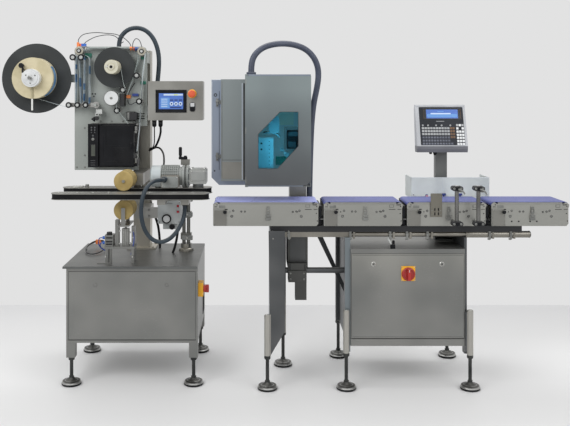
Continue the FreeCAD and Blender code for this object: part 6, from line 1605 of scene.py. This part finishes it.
# %% Weighing lane fittings
CLAMP_FACE = -365.2
lane = []
for x in (902, 1010):
    for z in (848, 1024):
        lane += [
            screw_head("-Y", (x - 17, CLAMP_FACE, z), 6, 3, 1),
            screw_head("-Y", (x + 17, CLAMP_FACE, z), 6, 3, 1)]
        lane.append(spun(0, (x, CLAMP_FACE, z), [(0, 0), (10.5, 0), (9.5, 2), (0, 2)], 28))
    lane.append(wheel(2, "Z", (x, -345, 1033.5), [(0, 0), (9.6, 0), (9.6, 2), (8, 4), (0, 4)], 28))
    lane.append(bent_rod(1, [(x + 2, -369, 1022), (x + 16, -372, 1016), (x + 27, -373, 1008),
                             (x + 33, -373, 998)], 22, np.linspace(5, 3.6, 22), 12))
for z in (880, 902, 972):
    for x in (795, 839):
        lane.append(screw_head("-Y", (x, -272.8, z), 3, 1.6, 1))
for x in (808.6, 826.6):
    for z in (885, 908):
        lane.append(tile(0, (x, -272.9, z), 5, 15, 0.9, 2.4, 0.2))
lane += [
    tile(3, (910, -43.2, 953.5), 18, 10, 1.4, 2, 0.5),
    tile(3, (998, -43.2, 953.5), 18, 10, 1.4, 2, 0.5),
    spun(4, (818, -44, 946), [(0, 0), (6, 0), (6, 8), (0, 8)], 18),
    block(3, "Y", (818, -44, 948), 14, 12, 9.2, 3, 1)]
sensor_dark = finish("sensor_dark", (34, 50, 110), (44, 60, 122), 0.4, cloud=30)
lens_pink = finish("lens_pink", (196, 140, 150), (206, 152, 160), 0.3, cloud=30, coat=0.3)
piece("lane_fittings", lane, [black_plastic, dull_steel, steel_turned, sensor_dark, lens_pink], "root")
guard_edge = finish("guard_edge", (206, 212, 216), (216, 221, 225), 0.4, cloud=6)
guard_fit = [
    tile(0, (906, -34.9, 988), 2, 108, 0.8, 0.8, 0.2),
    tile(0, (946, -34.9, 1043.6), 416, 2.2, 0.8, 0.8, 0.2)]
for x in (748, 892, 920, 1144):
    guard_fit.append(screw_head("-Y", (x, -34.8, 952), 3.6, 2, 1))
piece("guard_seams", guard_fit, [guard_edge, bright_steel], "root")
print("line dressed")

# %% [markdown]
# ## Operator box
# A black bezel round a lit screen, with a generic picture: title bar, a list at the left and three round
# buttons at the right. The push buttons ride on their own bodies, so they move when pressed.

# %% Operator screen and buttons
picture = [
    tile(0, (-560, -3.2, 1455), 132, 86, 0.9, 1, 0.3),
    tile(1, (-548, -4.2, 1490), 104, 9, 0.4, 1, 0.2),
    tile(3, (-534, -4.7, 1490), 22, 6, 0.3, 1, 0.1),
    tile(4, (-592, -4.2, 1446), 48, 56, 0.4, 1, 0.2),
    tile(2, (-534, -4.2, 1421), 60, 6, 0.4, 1, 0.2)]
for z in (1466, 1456, 1446, 1436, 1426):
    picture.append(tile(1, (-596, -4.7, z), 34, 3, 0.3, 0.6, 0.1, 3))
for x in (-557, -533, -509):
    ring = [(0, 0), (10, 0), (10, 0.6), (0, 0.6)]
    picture.append(spun(1, (x, -4.1, 1441), ring, 28))
    picture.append(spun(5, (x, -4.8, 1441), [(0, 0), (4.5, 0), (4.5, 0.4), (0, 0.4)], 20))
    picture.append(tile(5, (x, -4.2, 1461), 18, 7, 0.4, 1, 0.2))
piece("operator_picture", picture, [screen_blue, screen_pale, screen_dark, screen_lime, screen_mid,
                                    screen_dark], "root")
bezel = [tile(0, (x, -4.8, z), w, h, 1.6, 2, 0.7) for x, z, w,
         h in ((-560, 1397.5, 160, 6), (-560, 1512.5, 160, 6), (-640, 1455, 6, 120), (-480, 1455, 6, 120))]
bezel += [spun(2, (-446, 0.2, 1495), [(19, 0), (24, 0), (24, 1.6), (22, 3), (19, 3), (19, 0)], 44),
          spun(1, (-444, 0.2, 1424), [(12.4, 0), (17, 0), (17, 1.6), (15, 3), (12.4, 3), (12.4, 0)], 40)]
piece("operator_trim", bezel, [black_plastic, bright_steel, switch_yellow], "root")
piece("stop_head", [
    spun(0, (-446, -28.6, 1495), [(0, 0), (19.6, 0), (20.2, 2), (19, 4.4), (13, 5.8), (0, 6.2)], 44),
    spun(0, (-446, -33.6, 1495), [(12.8, 0), (14, 0), (13.6, 1.2), (12.8, 1.2), (12.8, 0)], 36)],
      [stop_red], "stop_button")
glands = []
for x in (-658, -624):
    glands += [
        wheel(0, "-Z", (x, 60, 1351), [(0, 0), (14, 0), (14, 8), (12, 10), (0, 10)], 6),
        wheel(0, "-Z", (x, 60, 1333), [(0, 0), (11, 0), (12, 4), (12, 12), (8, 20), (0, 20)], 28)]
glands += [
    bent_rod(0, [(-658, 60, 1318), (-658, 62, 1270), (-660, 72, 1225), (-674, 120, 1196), (-694, 190, 1188),
                 (-706, 214, 1180)], 40, 3.2, 8),
    bent_rod(0, [(-624, 60, 1318), (-624, 62, 1284), (-634, 70, 1246), (-655, 96, 1205), (-680, 160, 1186),
                 (-706, 216, 1172)], 40, 6, 10),
    bent_rod(0, [(-672, 130, 1190), (-650, 116, 1196), (-628, 92, 1190), (-606, 40, 1165),
                 (-596, -20, 1128), (-596, -60, 1100)], 40, 5, 10),
    bent_rod(0, [(-706, 226, 900), (-690, 240, 830), (-660, 244, 740), (-648, 236, 640), (-648, 230, 614)],
             36, 7, 10),
    bent_rod(0, [(-530, 76, 800), (-534, 92, 720), (-548, 96, 650), (-560, 90, 614)], 30, 7, 10)]
piece("operator_cables", glands, [black_plastic], "root")

# %% [markdown]
# ## Motor, belts and rollers
# Cast motor housings have cooling ribs along their length, bolted flanges and a terminal box lid held by
# four screws. The long side plates have round-head screws, and each foam roller has a steel core.

# %% Motor fittings
MOTOR_Y, MOTOR_Z = -70, 1056
SIDE_PLATE_TOP = 992.8
motor_fit = []
for turn in np.linspace(0.35, 2.8, 10):
    x, y, z = -556, MOTOR_Y - 55 * math.cos(turn), MOTOR_Z + 55 * math.sin(turn)
    motor_fit.append(block(0, "Z", (x, y, z - 3), 96, 3, 8, 1.2, 0.6, 3))
motor_fit += [
    tile(0, (-550.5, -162.6, 1034), 86, 58, 3, 5, 1.4),
    wheel(2, "X", (-662, MOTOR_Y, MOTOR_Z), [(0, 0), (40, 0), (50, 5), (57, 9), (57, 60), (0, 60)], 56),
    wheel(0, "X", (-470, MOTOR_Y, MOTOR_Z), [(0, 0), (56, 0), (60, 3), (60, 12), (56, 14), (0, 14)], 56),
    tile(3, (-406, -117.6, 1062), 76, 52, 4, 6, 1.6),
    block(3, "Z", (-406, -70, 1094), 78, 84, 4, 8, 1.6)]
for x in (-588, -513):
    for z in (1010, 1058):
        motor_fit.append(screw_head("-Y", (x, -165.4, z), 3.4, 2, 1))
for x in (-440, -372):
    for z in (1040, 1084):
        motor_fit.append(screw_head("-Y", (x, -121.4, z), 4, 2.4, 1))
    for y in (-104, -36):
        motor_fit.append(screw_head("Z", (x, y, 1097.8), 5, 4, 1))
for turn in np.linspace(0.4, 5.9, 8):
    motor_fit.append(wheel(1, "X", (-457, MOTOR_Y + 52 * math.cos(turn), MOTOR_Z + 52 * math.sin(turn)),
                           [(0, 0), (4.4, 0), (4.4, 4), (0, 4)], 6))
motor_fit += [spun(4, (-578, -178, 1050), [(0, 0), (17, 0), (17, 6), (14, 14), (0, 14)], 30)]
cast_light = finish("cast_light", (168, 176, 178), (180, 187, 189), 0.42, cloud=10, scuff=0.2)
cast_metal = finish("cast_metal", (150, 152, 150), (164, 166, 163), 0.4, metallic=0.4, grain=700,
                    cloud=14, scuff=0.3)
piece("motor_fittings", motor_fit, [motor_paint, bright_steel, cast_light, cast_metal, hose_grey], "root")
side_fit = []
for x in (-1105, -1010, -930, -850, -640, -520, -420):
    side_fit += [
        screw_head("Z", (x, -276, SIDE_PLATE_TOP), 5, 3, 0),
        screw_head("Z", (x + 12, -23, SIDE_PLATE_TOP), 5, 3, 0)]
for y in (-300, -252):
    side_fit.append(block(1, "Z", (-760, y, SIDE_PLATE_TOP), 640, 3, 1.2, 1, 0.4))
side_fit += [
    block(0, "Z", (-1060, -24, SIDE_PLATE_TOP), 60, 30, 7, 3, 1),
    wheel(1, "Z", (-1010, -24, SIDE_PLATE_TOP), [(0, 0), (10, 0), (10, 12), (7, 15), (0, 15)], 28)]
piece("side_unit_screws", side_fit, [bright_steel, dull_steel], "root")
for body, z in (("upper_roller", 1045), ("lower_roller", 895)):
    core = [spun(1, (-783, -219.4, z), [(0, 0), (13, 0), (12, 1.2), (0, 1.2)], 32),
            spun(0, (-783, -220, z), [(0, 0), (3.5, 0), (3, 1.4), (0, 1.4)], 20),
            spun(1, (-783, -219.4, z), [(20, 0), (48, 0), (47, 0.8), (20, 0.8), (20, 0)], 56)]
    piece(f"{body}_face", core, [dull_steel, foam_tan], body)

# %% [markdown]
# ## Lift, drive box and table
# The lift cylinder is a grooved bar with small air fittings and blue air lines. The drive box has a round
# gauge with a white dial and red lamps. A spare cable lies in a loop on the table with an orange tie.

# %% Lift and drive box fittings
lift_fit = [bent_rod(2, path, 30, 2.6, 8, (0.1, 0.2, 1)) for path in ([(-904, -160, 718), (-914, -156, 712),
                                                                       (-914, -150, 694), (-902, -146, 682),
                                                                       (-890, -146, 676)],
                                                                      [(-904, -160, 744), (-920, -154, 738),
                                                                       (-924, -146, 706), (-910, -140, 684),
                                                                       (-890, -140, 672)],
                                                                      [(-744, -152, 780), (-736, -166, 740),
                                                                       (-742, -178, 690),
                                                                       (-750, -182, 660)])]
for x, z in ((-743, 712), (-743, 744), (-743, 776), (-758, 716), (-758, 772), (-812, 714), (-812, 780)):
    lift_fit.append(screw_head("-Y", (x, -151 if x > -750 else -160.4, z), 5, 6, 0))
for x in (-792, -783, -774):
    lift_fit.append(tile(0, (x, -159.6, 746), 2.4, 84, 1.6, 0.8, 0.4))
for z in (714, 727, 747):
    lift_fit.append(tile(1, (-864, -179.6, z), 34, 6, 6, 2, 1))
for x in (-880, -741):
    lift_fit.append(screw_head("-Y", (x, -190, 650), 5, 3, 0))
piece("lift_fittings", lift_fit, [bright_steel, black_plastic, sensor_blue], "root")
box_fit = [
    spun(1, (-574, -99.8, 832), [(0, 0), (18, 0), (17.4, 3), (0, 3)], 44),
    spun(0, (-574, -99.6, 832), [(18, 0), (25, 0), (25, 3), (23, 5), (18.6, 3), (18, 0)], 48),
    tile(3, (-560, -89.6, 868), 96, 74, 1.6, 8, 0.8),
    spun(0, (-545, -89.6, 790), [(0, 0), (13, 0), (15, 4), (15, 12), (12, 15), (0, 15)], 12),
    tile(4, (-562, -90.8, 912), 36, 3, 1, 1, 0.3)]
for z in (900, 870):
    box_fit.append(spun(2, (-514, -96.8, z), [(0, 0), (7, 0), (7, 3), (4, 6), (0, 6.6)], 28))
for x in (-612, -508):
    for z in (814, 916):
        box_fit.append(screw_head("-Y", (x, -89.8, z), 3.6, 2, 4))
for z in (826, 861):
    box_fit.append(screw_head("-Y", (-685, 36.4, z), 6, 4, 4))
piece("drive_box_fittings", box_fit, [black_plastic, nylon_white, lamp_red, drive_paint, dull_steel], "root")
turn = np.linspace(0.3, 2 * np.pi + 0.1, 70)
loop = np.stack([-993 + 52 * np.cos(turn), 130 + 110 * np.sin(turn), 636 + 14 * np.sin(turn)], axis=1)
loop = np.concatenate([loop, [(-930, 146, 641), (-915, 150, 650)]])
table_bits = [
    rod(0, loop, 3.4, 10),
    rod(0, loop[10:40] + [4, 3, 5.6], 3.2, 10),
    tile(1, (-996, 222, 652), 30, 26, 12, 4, 2),
    wheel(2, "Z", (-790, 160, 614.8), [(0, 0), (9, 0), (9, 4), (0, 4)], 6)]
for x in (-500, -483):
    for y in (130, 190):
        table_bits.append(wheel(2, "Z", (x + 2, y, 615), [(0, 0), (7, 0), (7, 5), (0, 5)], 6))
for z in (690, 820, 905):
    table_bits.append(tile(3, (-484, 140, z), 62, 26, 9, 4, 1.4))
    table_bits.append(screw_head("-Y", (-484, 130.8, z), 6, 4, 2))
piece("table_fittings", table_bits, [wire_black, loop_orange, bright_steel, cast_metal], "root")

# %% [markdown]
# ## Cabinet and feet
# Locks on the drop-down door, a red rotary grip on the side, louvres, and lock nuts over each domed foot.

# %% Cabinet fittings
DOOR_FACE = -235.6
SIDE_KNOB_Y = -167.5
door_edge = [tile(1, (-736, DOOR_FACE, 578.5), 646, 8, 1.2, 1, 0.4),
             tile(1, (-416, DOOR_FACE, 410), 8, 344, 1.2, 1, 0.4),
             tile(1, (-1056, DOOR_FACE, 410), 6, 344, 1.2, 1, 0.4)]
piece("wrap_door_fittings", door_edge + quarter_lock(-924, -236, 515) + quarter_lock(-558, -236, 515),
      [dull_steel, seam_dark], "wrap_door")
side_knob = [
    wheel(0, "X", (-362.2, SIDE_KNOB_Y, 481), [(0, 0), (20.6, 0), (20.6, 2), (18.6, 3.6), (0, 3.6)], 44),
    block(0, "X", (-347, SIDE_KNOB_Y, 481), 10, 33, 2, 3, 0.8),
    block(1, "X", (-345.2, SIDE_KNOB_Y, 492), 2, 8, 0.7, 0.8, 0.2)]
piece("side_knob_grip", side_knob, [switch_red, nylon_white], "wrap_isolator")
vents = []
for y in np.linspace(176, 284, 10):
    vents.append(block(0, "X", (-399.4, y, 325), 5, 146, 3, 2, 1, 4))
for z in (452, 510):
    for y in (-194, -141):
        vents.append(screw_head("X", (-374.2, y, z), 2.6, 1.4, 1))
piece("side_vents", vents, [seam_dark, dull_steel], "root")
FEET = [(-1050.5, -217.5, 143), (-1050.5, 316, 143), (-421.5, -217.5, 143), (-421.5, 316, 143),
        (-42.5, -284, 168), (50, 71.5, 182), (357.5, -282.5, 183), (370, 220.5, 206), (985, -284, 173),
        (990, 220.5, 206)]
nuts = []
for x, y, top in FEET:
    nuts += [
        hexagon("Z", (x, y, top - 14), 16.4, 12, 0),
        hexagon("Z", (x, y, 36), 13, 9, 0),
        wheel(0, "Z", (x, y, 20), [(34, 3.2), (44, 0), (45.4, 1), (35, 4.6), (34, 3.2)], 56)]
    nuts.append(wheel(2, "Z", (x, y, 1), [(46, 0), (50.3, 2.6), (50.6, 5), (50.3, 9), (48, 11), (46, 0)], 56))
for (x, y, low), high in zip(FEET[4:], (376, 376, 400, 414, 400, 414)):
    nuts.append(wheel(1, "Z", (x, y, low - 0.4), [(0, 0), (14, 0), (14, 3), (0, 3)], 32))
    nuts.append(wheel(1, "Z", (x, y, high - 3), [(0, 0), (13, 0), (12, 4), (0, 6)], 32))
piece("foot_nuts", nuts, [foot_steel, bright_steel, black_plastic], "root")
print("left station dressed")
